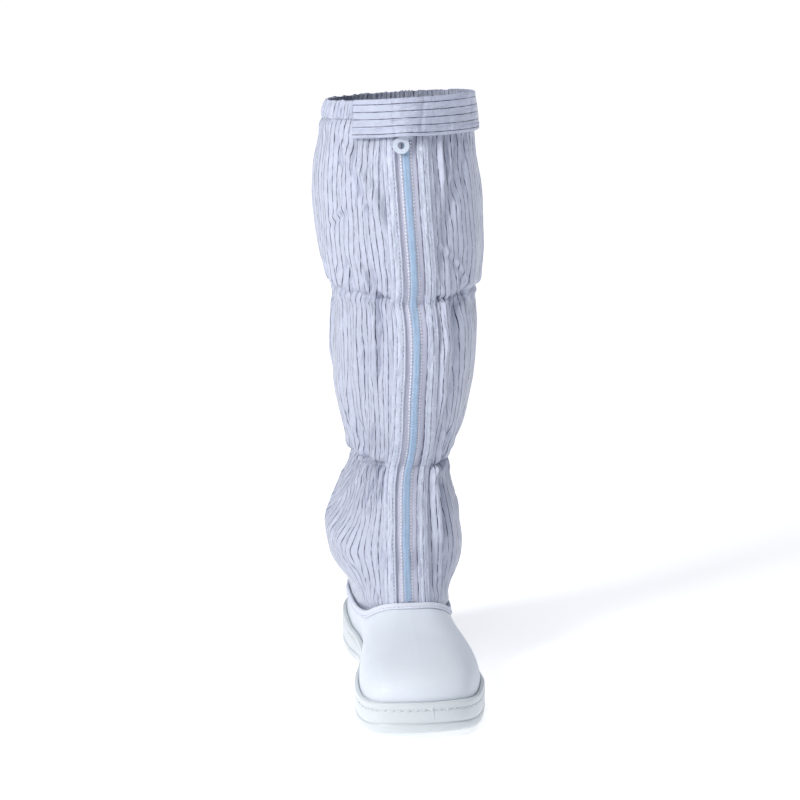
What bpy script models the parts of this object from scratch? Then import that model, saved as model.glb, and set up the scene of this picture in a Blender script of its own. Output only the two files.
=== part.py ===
"""Cleanroom boot for the left foot: a white closed shoe with a striped fabric leg.

Metres, +Z up. The toe points to -Y and the inner side of the foot is at -X. The origin lies on
the floor under the middle of the heel, and stations are measured forward from the heel's back.
"""

import math

import bmesh
import bpy
import numpy as np

# Sole
SOLE_LENGTH = 0.265
HEEL_OVERHANG = 0.036
BALL_WIDTH = 0.094
FOREFOOT_THICKNESS = 0.0105
HEEL_THICKNESS = 0.0175
ARCH_LIFT = 0.0035
TOE_SPRING = 0.0050
LIP_HEIGHT = 0.0225
HEEL_LIP_RISE = 0.011
LIP_THICKNESS = 0.0032
EDGE_ROUND = 0.0034
SIDE_GROOVE_HEIGHT = 0.0076
SIDE_GROOVE_WIDTH = 0.0020
SIDE_GROOVE_DEPTH = 0.0009
STITCH_LINE_DROP = 0.0052
STITCH_LINE_WIDTH = 0.0018
STITCH_LINE_DEPTH = 0.0006
TREAD_GROOVE_WIDTH = 0.0032
TREAD_GROOVE_DEPTH = 0.0024
TREAD_PITCH = 0.0125
TREAD_BORDER = 0.0075
BALL_STATION = 0.180

# Upper, insole and binding
UPPER_WALL = 0.0018
TOPLINE_LENGTH = 0.150
TOPLINE_BACK = 0.0085
TOPLINE_WIDTH = 0.072
TOPLINE_SIDE_HEIGHT = 0.0480
THROAT_RISE = 0.0180
HEEL_TOPLINE_RISE = 0.0085
VAMP_RISE = 0.030
INSOLE_THICKNESS = 0.0040
BINDING_DROP = 0.0050
BINDING_THICKNESS = 0.0010

# Leg
BOOT_HEIGHT = 0.426
LEG_WIDTH = 0.119
LEG_DEPTH = 0.112
LEG_STATION = 0.074
LEG_WALL = 0.0010
SKIRT_FULLNESS = 0.40
LONGEST_RING_STEP = 0.019
CUFF_ROLL = 0.050
CUFF_SLUMP = 0.055
CUFF_ROLL_START = 0.80

# Zip, facings, cuff and strap
ZIP_GAP = 0.0150
TAPE_WIDTH = 0.0130
TAPE_THICKNESS = 0.0006
COIL_WIDTH = 0.0062
COIL_THICKNESS = 0.0020
PLACKET_WIDTH = 0.0085
PLACKET_THICKNESS = 0.0008
CUFF_HEIGHT = 0.0135
CUFF_THICKNESS = 0.0018
STRAP_HEIGHT = 0.0275
STRAP_THICKNESS = 0.0016
STRAP_INNER_REACH = 0.037
STRAP_OUTER_REACH = 0.098
STRAP_BRIDGE_WIDTH = 0.012
STRAP_FLARE = 0.0024

# Slider and pull
SLIDER_LENGTH = 0.0100
SLIDER_WIDTH = 0.0088
SLIDER_FOOT_WIDTH = 0.0080
SLIDER_PLATE = 0.0011
BRIDGE_WIDTH = 0.0020
BRIDGE_BAR = 0.0009
BRIDGE_LENGTH = 0.0050
BRIDGE_OPENING = 0.0018
PULL_DIAMETER = 0.0120
PULL_HOLE = 0.0052
PULL_REACH = 0.0108
PULL_THICKNESS = 0.0012
PULL_AXLE = 0.0010
PULL_CLEARANCE = 0.0004
PULL_ARM = 0.0012
PULL_LEAN = math.radians(23.0)
PULL_NECK = math.radians(36.0)
PULL_ABOVE_STRAP_EDGE = 0.0040

# Clearances: between pieces that lie on each other, and of the facings' foot over the binding
GAP = 0.0003
FACING_CLEARANCE = 0.0034

# How finely the curved pieces are divided. The upper's rows are climbs up its wall, the tucked
# rows of the leg are climbs inside the collar with their ease away from it in gaps, and the
# skirt's rows are shares of the way from the collar to the first ring of the leg.
OUTLINE_POINTS = 60
RING_POINTS = 180
BACK_COLUMNS = 12
UPPER_CLIMBS = (0.0, 0.14, 0.28, 0.43, 0.58, 0.72, 0.84, 0.92, 1.0)
TUCKED_ROWS = ((0.86, 0.0), (0.93, 0.5), (1.0, 1.5))
SKIRT_ROWS = (0.10, 0.22, 0.40, 0.60, 0.80)

FULL_TURN = 2.0 * math.pi


class Table:
    """Rows chosen by hand under named columns, read as a smooth curve over the first column."""

    def __init__(self, columns, rows, rounded_ends=False):
        values = np.array(rows, float).T
        self.rounded_ends = rounded_ends
        self.at = self.key(values[0])
        self.columns = dict(zip(columns.split(), values))

    def key(self, share):
        share = np.clip(share, 0.0, 1.0)
        return np.arccos(1.0 - 2.0 * share) if self.rounded_ends else share

    def slopes(self, values):
        """Each row's slope from its neighbours, level at a turning point and nowhere too steep."""
        climbs = np.diff(values) / np.diff(self.at)
        slopes = np.gradient(values, self.at)
        steepest = 3.0 * np.minimum(np.abs(climbs[:-1]), np.abs(climbs[1:]))
        steepest[climbs[:-1] * climbs[1:] <= 0.0] = 0.0
        slopes[1:-1] = np.clip(slopes[1:-1], -steepest, steepest)
        return slopes

    def read(self, column, share):
        """A cubic through the rows that never swings past a row's own value."""
        values = self.columns[column]
        slopes = self.slopes(values)
        key = self.key(np.asarray(share, float))
        row = np.clip(np.searchsorted(self.at, key) - 1, 0, len(self.at) - 2)
        span = self.at[row + 1] - self.at[row]
        part = (key - self.at[row]) / span
        rise = part * part * (3.0 - 2.0 * part)
        start = values[row] + (values[row + 1] - values[row]) * rise
        lead = slopes[row] * span * part * (1.0 - part) ** 2
        tail = slopes[row + 1] * span * part * part * (1.0 - part)
        return start + lead - tail


# Shares of the sole's length, and of half the ball's width on the inner and outer side.
OUTLINE = Table(
    "station inner outer",
    [
        (0.00, 0.00, 0.00),
        (0.03, 0.46, 0.46),
        (0.08, 0.66, 0.66),
        (0.15, 0.73, 0.73),
        (0.24, 0.715, 0.74),
        (0.34, 0.65, 0.74),
        (0.44, 0.67, 0.80),
        (0.56, 0.79, 0.92),
        (0.66, 0.92, 0.99),
        (0.75, 1.00, 0.985),
        (0.83, 1.02, 0.90),
        (0.90, 0.985, 0.78),
        (0.945, 0.90, 0.655),
        (0.975, 0.75, 0.485),
        (0.992, 0.49, 0.24),
        (1.00, 0.14, -0.14),
    ],
    rounded_ends=True,
)

# The sole's edge by station: the lip over the forefoot's lip, as a share of the heel's extra
# rise, the arch's lift, the toe's spring and how far the floor has climbed to the heel.
SOLE_LEVELS = Table(
    "station lip arch spring heel",
    [
        (0.00, 1.00, 0.00, 0.00, 1.00),
        (0.08, 0.78, 0.00, 0.00, 1.00),
        (0.16, 0.38, 0.00, 0.00, 1.00),
        (0.27, 0.02, 0.00, 0.00, 0.88),
        (0.40, -0.14, 1.00, 0.00, 0.52),
        (0.54, -0.14, 0.10, 0.00, 0.10),
        (0.66, -0.06, 0.00, 0.00, 0.00),
        (0.80, 0.00, 0.00, 0.00, 0.00),
        (0.90, 0.00, 0.00, 0.28, 0.00),
        (1.00, 0.00, 0.00, 1.00, 0.00),
    ],
)

# The collar's loop by its own station: half widths as shares of half its width, and height as
# a share of the rise to the throat in front or to the heel behind.
TOPLINE = Table(
    "station inner outer throat heel",
    [
        (0.00, 0.00, 0.00, 0.00, 1.00),
        (0.05, 0.44, 0.46, 0.00, 0.90),
        (0.16, 0.76, 0.80, 0.00, 0.55),
        (0.32, 0.90, 1.00, 0.00, 0.16),
        (0.50, 0.90, 1.04, 0.00, 0.00),
        (0.66, 0.86, 1.00, 0.07, 0.00),
        (0.80, 0.78, 0.88, 0.28, 0.00),
        (0.91, 0.64, 0.68, 0.68, 0.00),
        (0.97, 0.43, 0.40, 0.92, 0.00),
        (1.00, 0.06, -0.06, 1.00, 0.00),
    ],
    rounded_ends=True,
)

# The upper's wall over each station of the sole's edge: where it ends on the collar's loop, how
# high it rises upright, and how it comes into the collar, outward and from below. The last
# three are shares of the vamp's rise.
UPPER_WALLS = Table(
    "station collar upright outward below",
    [
        (0.00, 0.00, 0.30, 0.00, 0.30),
        (0.12, 0.15, 0.32, 0.02, 0.30),
        (0.24, 0.32, 0.36, 0.03, 0.30),
        (0.36, 0.49, 0.42, 0.05, 0.32),
        (0.48, 0.64, 0.52, 0.10, 0.34),
        (0.60, 0.77, 0.62, 0.22, 0.36),
        (0.72, 0.875, 0.74, 0.46, 0.40),
        (0.84, 0.945, 0.82, 0.85, 0.46),
        (0.94, 0.985, 0.88, 1.20, 0.52),
        (1.00, 1.00, 0.90, 1.35, 0.54),
    ],
    rounded_ends=True,
)

# The leg's rings from above the collar to the cuff: height as a share of the boot's height,
# station, side shift and half widths as shares of the leg's depth and width.
LEG_RINGS = Table(
    "height forward aside width depth",
    [
        (0.220, 0.050, -0.006, 0.405, 0.545),
        (0.246, 0.045, -0.010, 0.410, 0.545),
        (0.278, 0.030, 0.000, 0.382, 0.500),
        (0.318, 0.010, 0.012, 0.343, 0.430),
        (0.352, -0.010, 0.028, 0.305, 0.385),
        (0.370, -0.015, 0.042, 0.286, 0.362),
        (0.390, -0.012, 0.052, 0.312, 0.385),
        (0.430, -0.005, 0.058, 0.366, 0.440),
        (0.485, 0.010, 0.054, 0.412, 0.488),
        (0.545, 0.025, 0.060, 0.430, 0.508),
        (0.605, 0.030, 0.062, 0.432, 0.498),
        (0.640, 0.020, 0.058, 0.421, 0.455),
        (0.656, 0.012, 0.054, 0.414, 0.425),
        (0.674, 0.010, 0.058, 0.432, 0.445),
        (0.706, 0.010, 0.052, 0.474, 0.482),
        (0.760, 0.010, 0.036, 0.500, 0.500),
        (0.840, 0.008, 0.018, 0.500, 0.478),
        (0.915, 0.002, 0.010, 0.474, 0.425),
        (0.965, 0.000, 0.018, 0.448, 0.378),
        (1.000, 0.000, 0.026, 0.424, 0.352),
    ],
)


def station_of(turn):
    """Share of a loop's length reached after a turn that starts at the heel's back."""
    return (1.0 - np.cos(turn)) / 2.0


def side_of(turn):
    """-1 along the inner side of the foot and 1 along the outer side."""
    return np.where(np.mod(turn, FULL_TURN) <= math.pi, -1.0, 1.0)


def loop_point(table, turn, length, half_width):
    """Forward distance and sideways place of a loop whose two sides are in a table."""
    share = station_of(turn)
    side = side_of(turn)
    reach = np.where(side < 0.0, table.read("inner", share), table.read("outer", share))
    return share * length, side * reach * half_width


def outline(turn, inset=0.0):
    """Plan position of the sole's edge, moved inward by the inset."""
    step = 0.004
    forward, aside = loop_point(OUTLINE, turn, SOLE_LENGTH, BALL_WIDTH / 2.0)
    after = loop_point(OUTLINE, turn + step, SOLE_LENGTH, BALL_WIDTH / 2.0)
    before = loop_point(OUTLINE, turn - step, SOLE_LENGTH, BALL_WIDTH / 2.0)
    along_y = before[0] - after[0]
    along_x = after[1] - before[1]
    size = np.hypot(along_x, along_y)
    x = aside - along_y / size * inset
    y = HEEL_OVERHANG - forward + along_x / size * inset
    return x, y


def tread_height(turn):
    share = station_of(turn)
    return ARCH_LIFT * SOLE_LEVELS.read("arch", share) + TOE_SPRING * SOLE_LEVELS.read("spring", share)


def floor_height(turn):
    share = station_of(turn)
    climb = (HEEL_THICKNESS - FOREFOOT_THICKNESS) * SOLE_LEVELS.read("heel", share)
    return FOREFOOT_THICKNESS + climb + TOE_SPRING * SOLE_LEVELS.read("spring", share)


def lip_height(turn):
    share = station_of(turn)
    spring = TOE_SPRING * SOLE_LEVELS.read("spring", share)
    return LIP_HEIGHT + HEEL_LIP_RISE * SOLE_LEVELS.read("lip", share) + spring


def upright(x, y, z):
    return np.stack(np.broadcast_arrays(x, y, z), -1)


def collar_turn(turn):
    """The turn on the collar's loop at which the wall over this turn of the sole ends."""
    share = UPPER_WALLS.read("collar", station_of(turn))
    half = np.arccos(np.clip(1.0 - 2.0 * share, -1.0, 1.0))
    return np.where(side_of(turn) < 0.0, half, FULL_TURN - half)


def collar_point(turn):
    """The upper's top edge at a turn of the collar's own loop."""
    forward, aside = loop_point(TOPLINE, turn, TOPLINE_LENGTH, TOPLINE_WIDTH / 2.0)
    share = station_of(turn)
    rise = THROAT_RISE * TOPLINE.read("throat", share) + HEEL_TOPLINE_RISE * TOPLINE.read("heel", share)
    return upright(aside, HEEL_OVERHANG - TOPLINE_BACK - forward, TOPLINE_SIDE_HEIGHT + rise)


def upper_face(turn, climb):
    """The upper's outer face: climb is 0 at the sole's lip and 1 at the collar's edge."""
    turn = np.asarray(turn, float)
    climb = np.asarray(climb, float)[..., None]
    share = station_of(turn)
    base = upright(*outline(turn, LIP_THICKNESS + GAP), lip_height(turn))
    top = collar_point(collar_turn(turn))
    lift = UPPER_WALLS.read("upright", share) * VAMP_RISE
    outward = UPPER_WALLS.read("outward", share) * VAMP_RISE
    below = UPPER_WALLS.read("below", share) * VAMP_RISE
    away = base[..., :2] - top[..., :2]
    away = away / np.maximum(np.linalg.norm(away, axis=-1, keepdims=True), 1e-9)
    low = base + upright(0.0 * lift, 0.0 * lift, lift)
    high = top + upright(away[..., 0] * outward, away[..., 1] * outward, -below)
    rest = 1.0 - climb
    return rest**3 * base + 3.0 * rest**2 * climb * low + 3.0 * rest * climb**2 * high + climb**3 * top


def upper_point(turn, climb, out=0.0):
    """A point off the upper's outer face, along the face's own normal."""
    step = 0.004
    turn, climb = np.broadcast_arrays(np.asarray(turn, float), np.asarray(climb, float))
    low = np.clip(climb - step, 0.0, 1.0)
    high = np.clip(climb + step, 0.0, 1.0)
    up = upper_face(turn, high) - upper_face(turn, low)
    along = upper_face(turn + step, climb) - upper_face(turn - step, climb)
    normal = np.cross(along, up)
    normal /= np.maximum(np.linalg.norm(normal, axis=-1, keepdims=True), 1e-12)
    return upper_face(turn, climb) + normal * out


def leg_ring(height_share, turn):
    """A ring of the leg's inner face. The cuff is higher on the outer side and slumps behind."""
    half_width = LEG_RINGS.read("width", height_share) * LEG_WIDTH
    half_depth = LEG_RINGS.read("depth", height_share) * LEG_DEPTH
    station = LEG_STATION + LEG_RINGS.read("forward", height_share) * LEG_DEPTH
    middle = LEG_RINGS.read("aside", height_share) * LEG_WIDTH
    x = middle - half_width * np.sin(turn)
    y = HEEL_OVERHANG - station + half_depth * np.cos(turn)
    near_top = np.clip((height_share - CUFF_ROLL_START) / (1.0 - CUFF_ROLL_START), 0.0, 1.0)
    slump = CUFF_SLUMP * half_depth * (1.0 + np.cos(turn))
    return upright(x, y, height_share * BOOT_HEIGHT + near_top * (CUFF_ROLL * (x - middle) - slump))


def leg_rows():
    """The leg's rings from inside the collar to the cuff, each a loop of the same turns."""
    turn = np.arange(RING_POINTS) * FULL_TURN / RING_POINTS
    dense = np.linspace(0.0, FULL_TURN, 2001)
    on_sole = np.interp(turn, np.unwrap(collar_turn(dense)), dense)
    inside = UPPER_WALL + 1.5 * GAP + LEG_WALL
    rows = [upper_point(on_sole, climb, -inside - ease * GAP) for climb, ease in TUCKED_ROWS]
    start = rows[-1]
    end = leg_ring(LEG_RINGS.at[0], turn)
    span = end[:, 2:] - start[:, 2:]
    rise = np.array([0.0, 0.0, 1.0])
    inward = (start.mean(axis=0) - start) * np.array([1.0, 1.0, 0.0])
    inward /= np.linalg.norm(inward, axis=1, keepdims=True)
    low = start + rise * span * SKIRT_FULLNESS + inward * 3.0 * GAP
    high = end - rise * span * SKIRT_FULLNESS
    for part in SKIRT_ROWS:
        rest = 1.0 - part
        rows.append(
            rest**3 * start
            + 3.0 * rest**2 * part * low
            + 3.0 * rest * part**2 * high
            + part**3 * end
        )
    shares = LEG_RINGS.at
    for low_share, high_share in zip(shares[:-1], shares[1:]):
        rows.append(leg_ring(low_share, turn))
        if (high_share - low_share) * BOOT_HEIGHT > LONGEST_RING_STEP:
            rows.append(leg_ring((low_share + high_share) / 2.0, turn))
    rows.append(leg_ring(shares[-1], turn))
    return np.array(rows)


class Leg:
    """The leg's inner face, read by row, by distance round from the front, and by depth out."""

    def __init__(self):
        self.rows = leg_rows()
        up = np.gradient(self.rows, axis=0)
        fold = len(TUCKED_ROWS) - 1
        up[fold] = self.rows[fold] - self.rows[fold - 1]
        ahead = np.roll(self.rows, -1, axis=1) - np.roll(self.rows, 1, axis=1)
        normals = np.cross(ahead, up)
        self.normals = normals / np.linalg.norm(normals, axis=2, keepdims=True)
        front = RING_POINTS // 2
        self.order = np.arange(RING_POINTS + 1) % RING_POINTS
        steps = np.linalg.norm(np.diff(self.rows[:, self.order], axis=1), axis=2)
        run = np.concatenate([np.zeros((len(self.rows), 1)), np.cumsum(steps, axis=1)], axis=1)
        self.run = run - run[:, front : front + 1]

    def row_point(self, row, around, out):
        place = [np.interp(around, self.run[row], self.rows[row][self.order, k]) for k in range(3)]
        normal = [np.interp(around, self.run[row], self.normals[row][self.order, k]) for k in range(3)]
        normal = np.stack(normal, -1)
        normal /= np.linalg.norm(normal, axis=-1, keepdims=True)
        return np.stack(place, -1) + normal * np.asarray(out)[..., None]

    def point(self, row, around, out=0.0):
        """Between two rows the face is straight, as the leg's own facets are."""
        around = np.asarray(around, float)
        low = min(int(row), len(self.rows) - 2)
        part = row - low
        first = self.row_point(low, around, out)
        return first * (1.0 - part) + self.row_point(low + 1, around, out) * part

    def row_at_height(self, height):
        """The row at which the front of the leg's face reaches a height."""
        heights = [self.point(row, 0.0)[2] for row in range(len(self.rows))]
        return float(np.interp(height, heights, np.arange(len(heights))))

    def rows_between(self, low, high):
        """The two ends with every whole row between them."""
        inner = [row for row in range(len(self.rows)) if low + 0.05 < row < high - 0.05]
        return [low, *inner, high]

    def back(self, row):
        """Distances from the front to the middle of the back, on the inner and outer side."""
        low = min(int(row), len(self.rows) - 2)
        ends = self.run[low : low + 2][:, [0, -1]]
        return ends[0] + (ends[1] - ends[0]) * (row - low)


def material(name, colour, roughness, metallic=0.0):
    made = bpy.data.materials.new(name)
    made.use_nodes = True
    shader = made.node_tree.nodes["Principled BSDF"]
    shader.inputs["Base Color"].default_value = (*colour, 1.0)
    shader.inputs["Roughness"].default_value = roughness
    shader.inputs["Metallic"].default_value = metallic
    return made


def add_object(name, points, faces, finish, smooth_angle=40.0):
    """One closed body from points and faces, turned outward and shaded smooth."""
    mesh = bpy.data.meshes.new(name)
    mesh.from_pydata([tuple(map(float, point)) for point in points], [], faces)
    work = bmesh.new()
    work.from_mesh(mesh)
    bmesh.ops.remove_doubles(work, verts=work.verts, dist=1e-6)
    bmesh.ops.recalc_face_normals(work, faces=work.faces)
    if work.calc_volume(signed=True) < 0.0:
        bmesh.ops.reverse_faces(work, faces=work.faces)
    work.to_mesh(mesh)
    work.free()
    mesh.shade_smooth()
    mesh.set_sharp_from_angle(angle=math.radians(smooth_angle))
    mesh.materials.append(finish)
    made = bpy.data.objects.new(name, mesh)
    bpy.context.scene.collection.objects.link(made)
    return made


def add_sweep(name, sections, finish, closed=False):
    """A body through equal sections. Each section runs out along one side and back the other.

    Both sides split their quads along the same diagonal, so that layers stay evenly apart.
    """
    sections = np.asarray(sections, float)
    count, size = sections.shape[:2]
    faces = []
    for row in range(count if closed else count - 1):
        after = (row + 1) % count
        for point in range(size):
            beside = (point + 1) % size
            near = (row * size + point, row * size + beside)
            far = (after * size + point, after * size + beside)
            if point < size // 2:
                faces += [(near[0], near[1], far[1]), (near[0], far[1], far[0])]
            else:
                faces += [(near[0], near[1], far[0]), (near[1], far[1], far[0])]
    if not closed:
        for start in (0, (count - 1) * size):
            for point in range(size // 2 - 1):
                other = size - 1 - point
                faces.append((start + point, start + point + 1, start + other - 1, start + other))
    return add_object(name, sections.reshape(-1, 3), faces, finish)


def outline_turns():
    return np.arange(OUTLINE_POINTS) * FULL_TURN / OUTLINE_POINTS


def sole_profile(tread, lip, floor):
    """Insets and heights up the outside of the sole's wall, over its lip and down inside."""
    groove = tread + SIDE_GROOVE_HEIGHT
    line = lip - STITCH_LINE_DROP
    half_groove = SIDE_GROOVE_WIDTH / 2.0
    half_line = STITCH_LINE_WIDTH / 2.0
    return [
        (EDGE_ROUND, tread),
        (EDGE_ROUND * 0.29, tread + EDGE_ROUND * 0.29),
        (0.0, tread + EDGE_ROUND),
        (0.0, groove - half_groove),
        (SIDE_GROOVE_DEPTH, groove),
        (0.0, groove + half_groove),
        (0.0, line - half_line),
        (STITCH_LINE_DEPTH, line),
        (0.0, line + half_line),
        (0.0, lip - LIP_THICKNESS * 0.35),
        (LIP_THICKNESS * 0.30, lip),
        (LIP_THICKNESS, lip),
        (LIP_THICKNESS, floor),
    ]


def make_sole(finish):
    turns = outline_turns()
    count = len(turns)
    rings = []
    for inset, height in sole_profile(tread_height(turns), lip_height(turns), floor_height(turns)):
        rings.append(upright(*outline(turns, inset), height))
    faces = []
    for ring in range(len(rings) - 1):
        for point in range(count):
            beside = (point + 1) % count
            low = ring * count
            high = low + count
            faces.append((low + point, low + beside, high + beside, high + point))
    for start in (0, (len(rings) - 1) * count):
        for point in range(count // 2):
            other = (count - point) % count
            before = (count - point - 1) % count
            corners = [start + point, start + point + 1, start + before, start + other]
            faces.append(tuple(dict.fromkeys(corners)))
    sole = add_object("sole", np.concatenate(rings), faces, finish)
    cutter = make_tread_cutter()
    cut = sole.modifiers.new("tread_grooves", "BOOLEAN")
    cut.operation = "DIFFERENCE"
    cut.solver = "EXACT"
    cut.object = cutter
    return sole


def tread_stations():
    """Forward distances of the grooves across the heel and the forefoot, clear of both rests."""
    heel = HEEL_OVERHANG + TREAD_PITCH * (np.arange(-1, 3) - 0.5)
    ball = BALL_STATION + TREAD_PITCH * (np.arange(-3, 5) + 0.5)
    return [*heel, *ball]


def make_tread_cutter():
    """Bars across the tread, each ending inside the border that runs round it."""
    points = []
    faces = []
    for station in tread_stations():
        share = station / SOLE_LENGTH
        turn = math.acos(1.0 - 2.0 * share)
        inner = float(outline(turn, TREAD_BORDER)[0])
        outer = float(outline(FULL_TURN - turn, TREAD_BORDER)[0])
        top = float(tread_height(turn)) + TREAD_GROOVE_DEPTH
        first = len(points)
        for x in (inner, outer):
            for forward in (station - TREAD_GROOVE_WIDTH / 2.0, station + TREAD_GROOVE_WIDTH / 2.0):
                for z in (-TREAD_GROOVE_DEPTH, top):
                    points.append((x, HEEL_OVERHANG - forward, z))
        for corners in ((0, 1, 3, 2), (4, 6, 7, 5), (0, 4, 5, 1), (2, 3, 7, 6), (0, 2, 6, 4), (1, 5, 7, 3)):
            faces.append(tuple(first + corner for corner in corners))
    cutter = add_object("tread_cutter", points, faces, material("cutter", (0.5, 0.5, 0.5), 0.8))
    cutter.hide_render = True
    cutter.display_type = "WIRE"
    return cutter


def make_insole(finish):
    turns = outline_turns()
    inset = LIP_THICKNESS + GAP + UPPER_WALL + GAP
    count = len(turns)
    points = []
    for rise in (GAP, GAP + INSOLE_THICKNESS):
        points.extend(upright(*outline(turns, inset), floor_height(turns) + rise))
    faces = [(point, (point + 1) % count, count + (point + 1) % count, count + point) for point in range(count)]
    for start in (0, count):
        for point in range(count // 2):
            corners = [start + point, start + point + 1, start + (count - point - 1) % count]
            corners.append(start + (count - point) % count)
            faces.append(tuple(dict.fromkeys(corners)))
    return add_object("insole", points, faces, finish)


def make_upper(finish):
    turns = outline_turns()
    floor = floor_height(turns) + GAP
    outer = [upright(*outline(turns, LIP_THICKNESS + GAP), floor)]
    outer += [upper_point(turns, climb) for climb in UPPER_CLIMBS]
    inner = [upright(*outline(turns, LIP_THICKNESS + GAP + UPPER_WALL), floor)]
    inner += [upper_point(turns, climb, -UPPER_WALL) for climb in UPPER_CLIMBS]
    sections = np.stack(outer + inner[::-1], axis=1)
    return add_sweep("upper", sections, finish, closed=True)


def make_binding(finish):
    """A folded strip: down over the collar's outer face, with its fold over the top edge."""
    turns = outline_turns()
    step = 0.04
    edge = upper_point(turns, 1.0)
    reach = np.linalg.norm(edge - upper_point(turns, 1.0 - step), axis=1) / step
    low = 1.0 - BINDING_DROP / reach
    middle = 1.0 - 0.5 * BINDING_DROP / reach
    up = np.array([0.0, 0.0, 1.0])
    near = GAP
    far = GAP + BINDING_THICKNESS
    inside = upper_point(turns, 1.0, -UPPER_WALL * 0.4)
    sections = [
        upper_point(turns, low, near),
        upper_point(turns, low, far),
        upper_point(turns, middle, far * 1.15),
        upper_point(turns, 1.0, far) + up * GAP,
        upper_point(turns, 1.0, far * 0.3) + up * (GAP + BINDING_THICKNESS),
        inside + up * (GAP + BINDING_THICKNESS * 0.8),
        inside + up * GAP,
        upper_point(turns, 1.0, near) + up * GAP,
        upper_point(turns, middle, near),
    ]
    return add_sweep("topline_binding", np.stack(sections, axis=1), finish, closed=True)


def leg_columns(leg, row):
    """Distances round the ring from one side of the zip, over the back, to the other side."""
    inner_back, outer_back = leg.back(row)
    edge = ZIP_GAP / 2.0
    facing = edge + PLACKET_WIDTH
    share = np.linspace(0.0, 1.0, BACK_COLUMNS)
    inner = -facing + (inner_back + facing) * share
    outer = facing + (outer_back - facing) * share
    near = np.array([edge, TAPE_WIDTH])
    return np.concatenate([-near, inner]), np.concatenate([near, outer])


def make_shaft(leg, finish):
    columns = []
    for row in range(len(leg.rows)):
        inner, outer = leg_columns(leg, row)
        around = np.concatenate([inner, outer[-2::-1]])
        columns.append((leg.point(row, around, LEG_WALL), leg.point(row, around, 0.0)))
    outside = np.stack([pair[0] for pair in columns], axis=1)
    inside = np.stack([pair[1] for pair in columns], axis=1)
    sections = np.concatenate([outside, inside[:, ::-1]], axis=1)
    return add_sweep("shaft", sections, finish)


def add_strip(name, leg, rows, stations, finish):
    """A strip up the leg whose section lists distances round and depths out, there and back."""
    sections = []
    for row in rows:
        sections.append([leg.point(row, around, out) for around, out in stations])
    return add_sweep(name, sections, finish)


def flat_section(side, stations, inner, outer):
    """A strip's section on one side of the zip. It runs towards the foot's inner side."""
    stations = [side * station for station in stations]
    stations = sorted(stations, reverse=True)
    return [(station, outer) for station in stations] + [(station, inner) for station in stations[::-1]]


def make_zip(leg, tape_finish, coil_finish, facing_finish):
    top = len(leg.rows) - 1
    collar = leg.rows[len(TUCKED_ROWS) - 1][RING_POINTS // 2][2]
    clear = leg.row_at_height(collar + BINDING_THICKNESS + FACING_CLEARANCE)
    edge = ZIP_GAP / 2.0
    low = LEG_WALL + GAP
    for side, name in ((-1.0, "inner"), (1.0, "outer")):
        tape = flat_section(side, (GAP / 2.0, edge, TAPE_WIDTH), -GAP - TAPE_THICKNESS, -GAP)
        add_strip("zip_tape_" + name, leg, leg.rows_between(0, top), tape, tape_finish)
        facing = flat_section(side, (edge, TAPE_WIDTH, edge + PLACKET_WIDTH), low, low + PLACKET_THICKNESS)
        add_strip("placket_" + name, leg, leg.rows_between(clear, top), facing, facing_finish)
    half = COIL_WIDTH / 2.0
    coil = [(-half, COIL_THICKNESS * 0.45), (-half * 0.5, COIL_THICKNESS), (half * 0.5, COIL_THICKNESS)]
    coil += [(half, COIL_THICKNESS * 0.45), (half * 0.5, 0.0), (-half * 0.5, 0.0)]
    add_strip("zip_coil", leg, leg.rows_between(clear, top - 0.2), coil, coil_finish)


def make_cuff(leg, finish):
    """The elastic's casing, from one facing round the back to the other."""
    top = len(leg.rows) - 1
    height = leg.point(top, 0.0)[2]
    rows = leg.rows_between(leg.row_at_height(height - CUFF_HEIGHT), top)
    near = LEG_WALL + GAP
    shares = np.linspace(0.0, 1.0, BACK_COLUMNS)
    stations = [(-1.0, share) for share in shares] + [(1.0, share) for share in shares[-2::-1]]
    sections = []
    for side, share in stations:
        lead = GAP if share == 0.0 else 0.0
        outside = [back_point(leg, row, side, share, near + CUFF_THICKNESS, lead) for row in rows]
        inside = [back_point(leg, row, side, share, near, lead) for row in rows]
        sections.append(outside + inside[::-1])
    add_sweep("cuff_band", sections, finish)


def back_point(leg, row, side, share, out, lead=0.0):
    """A point at a share of the way from a facing's edge, past the lead, to the back's middle."""
    back = leg.back(row)[0 if side < 0.0 else 1]
    start = side * (ZIP_GAP / 2.0 + PLACKET_WIDTH + lead)
    return leg.point(row, start + (back - start) * share, out)


def reach_share(leg, row, side, reach):
    """The share of the way to the back's middle at which a distance round the leg lies."""
    facing = ZIP_GAP / 2.0 + PLACKET_WIDTH
    return (reach - facing) / (abs(leg.back(row)[0 if side < 0.0 else 1]) - facing)


def strap_out(around, low_share):
    """The strap's inner face lies on the cuff and bridges the zip's slider, flared at its foot."""
    seat = LEG_WALL + GAP + CUFF_THICKNESS + 2.0 * GAP
    over_slider = slider_top() + GAP + STRAP_FLARE * low_share
    return seat + (over_slider - seat) * math.exp(-((around / STRAP_BRIDGE_WIDTH) ** 2))


def slider_top():
    return COIL_THICKNESS + GAP + SLIDER_PLATE + BRIDGE_OPENING + BRIDGE_BAR


def strap_rows(leg):
    top = len(leg.rows) - 1
    height = leg.point(top, 0.0)[2]
    return leg.rows_between(leg.row_at_height(height - STRAP_HEIGHT), top)


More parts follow.
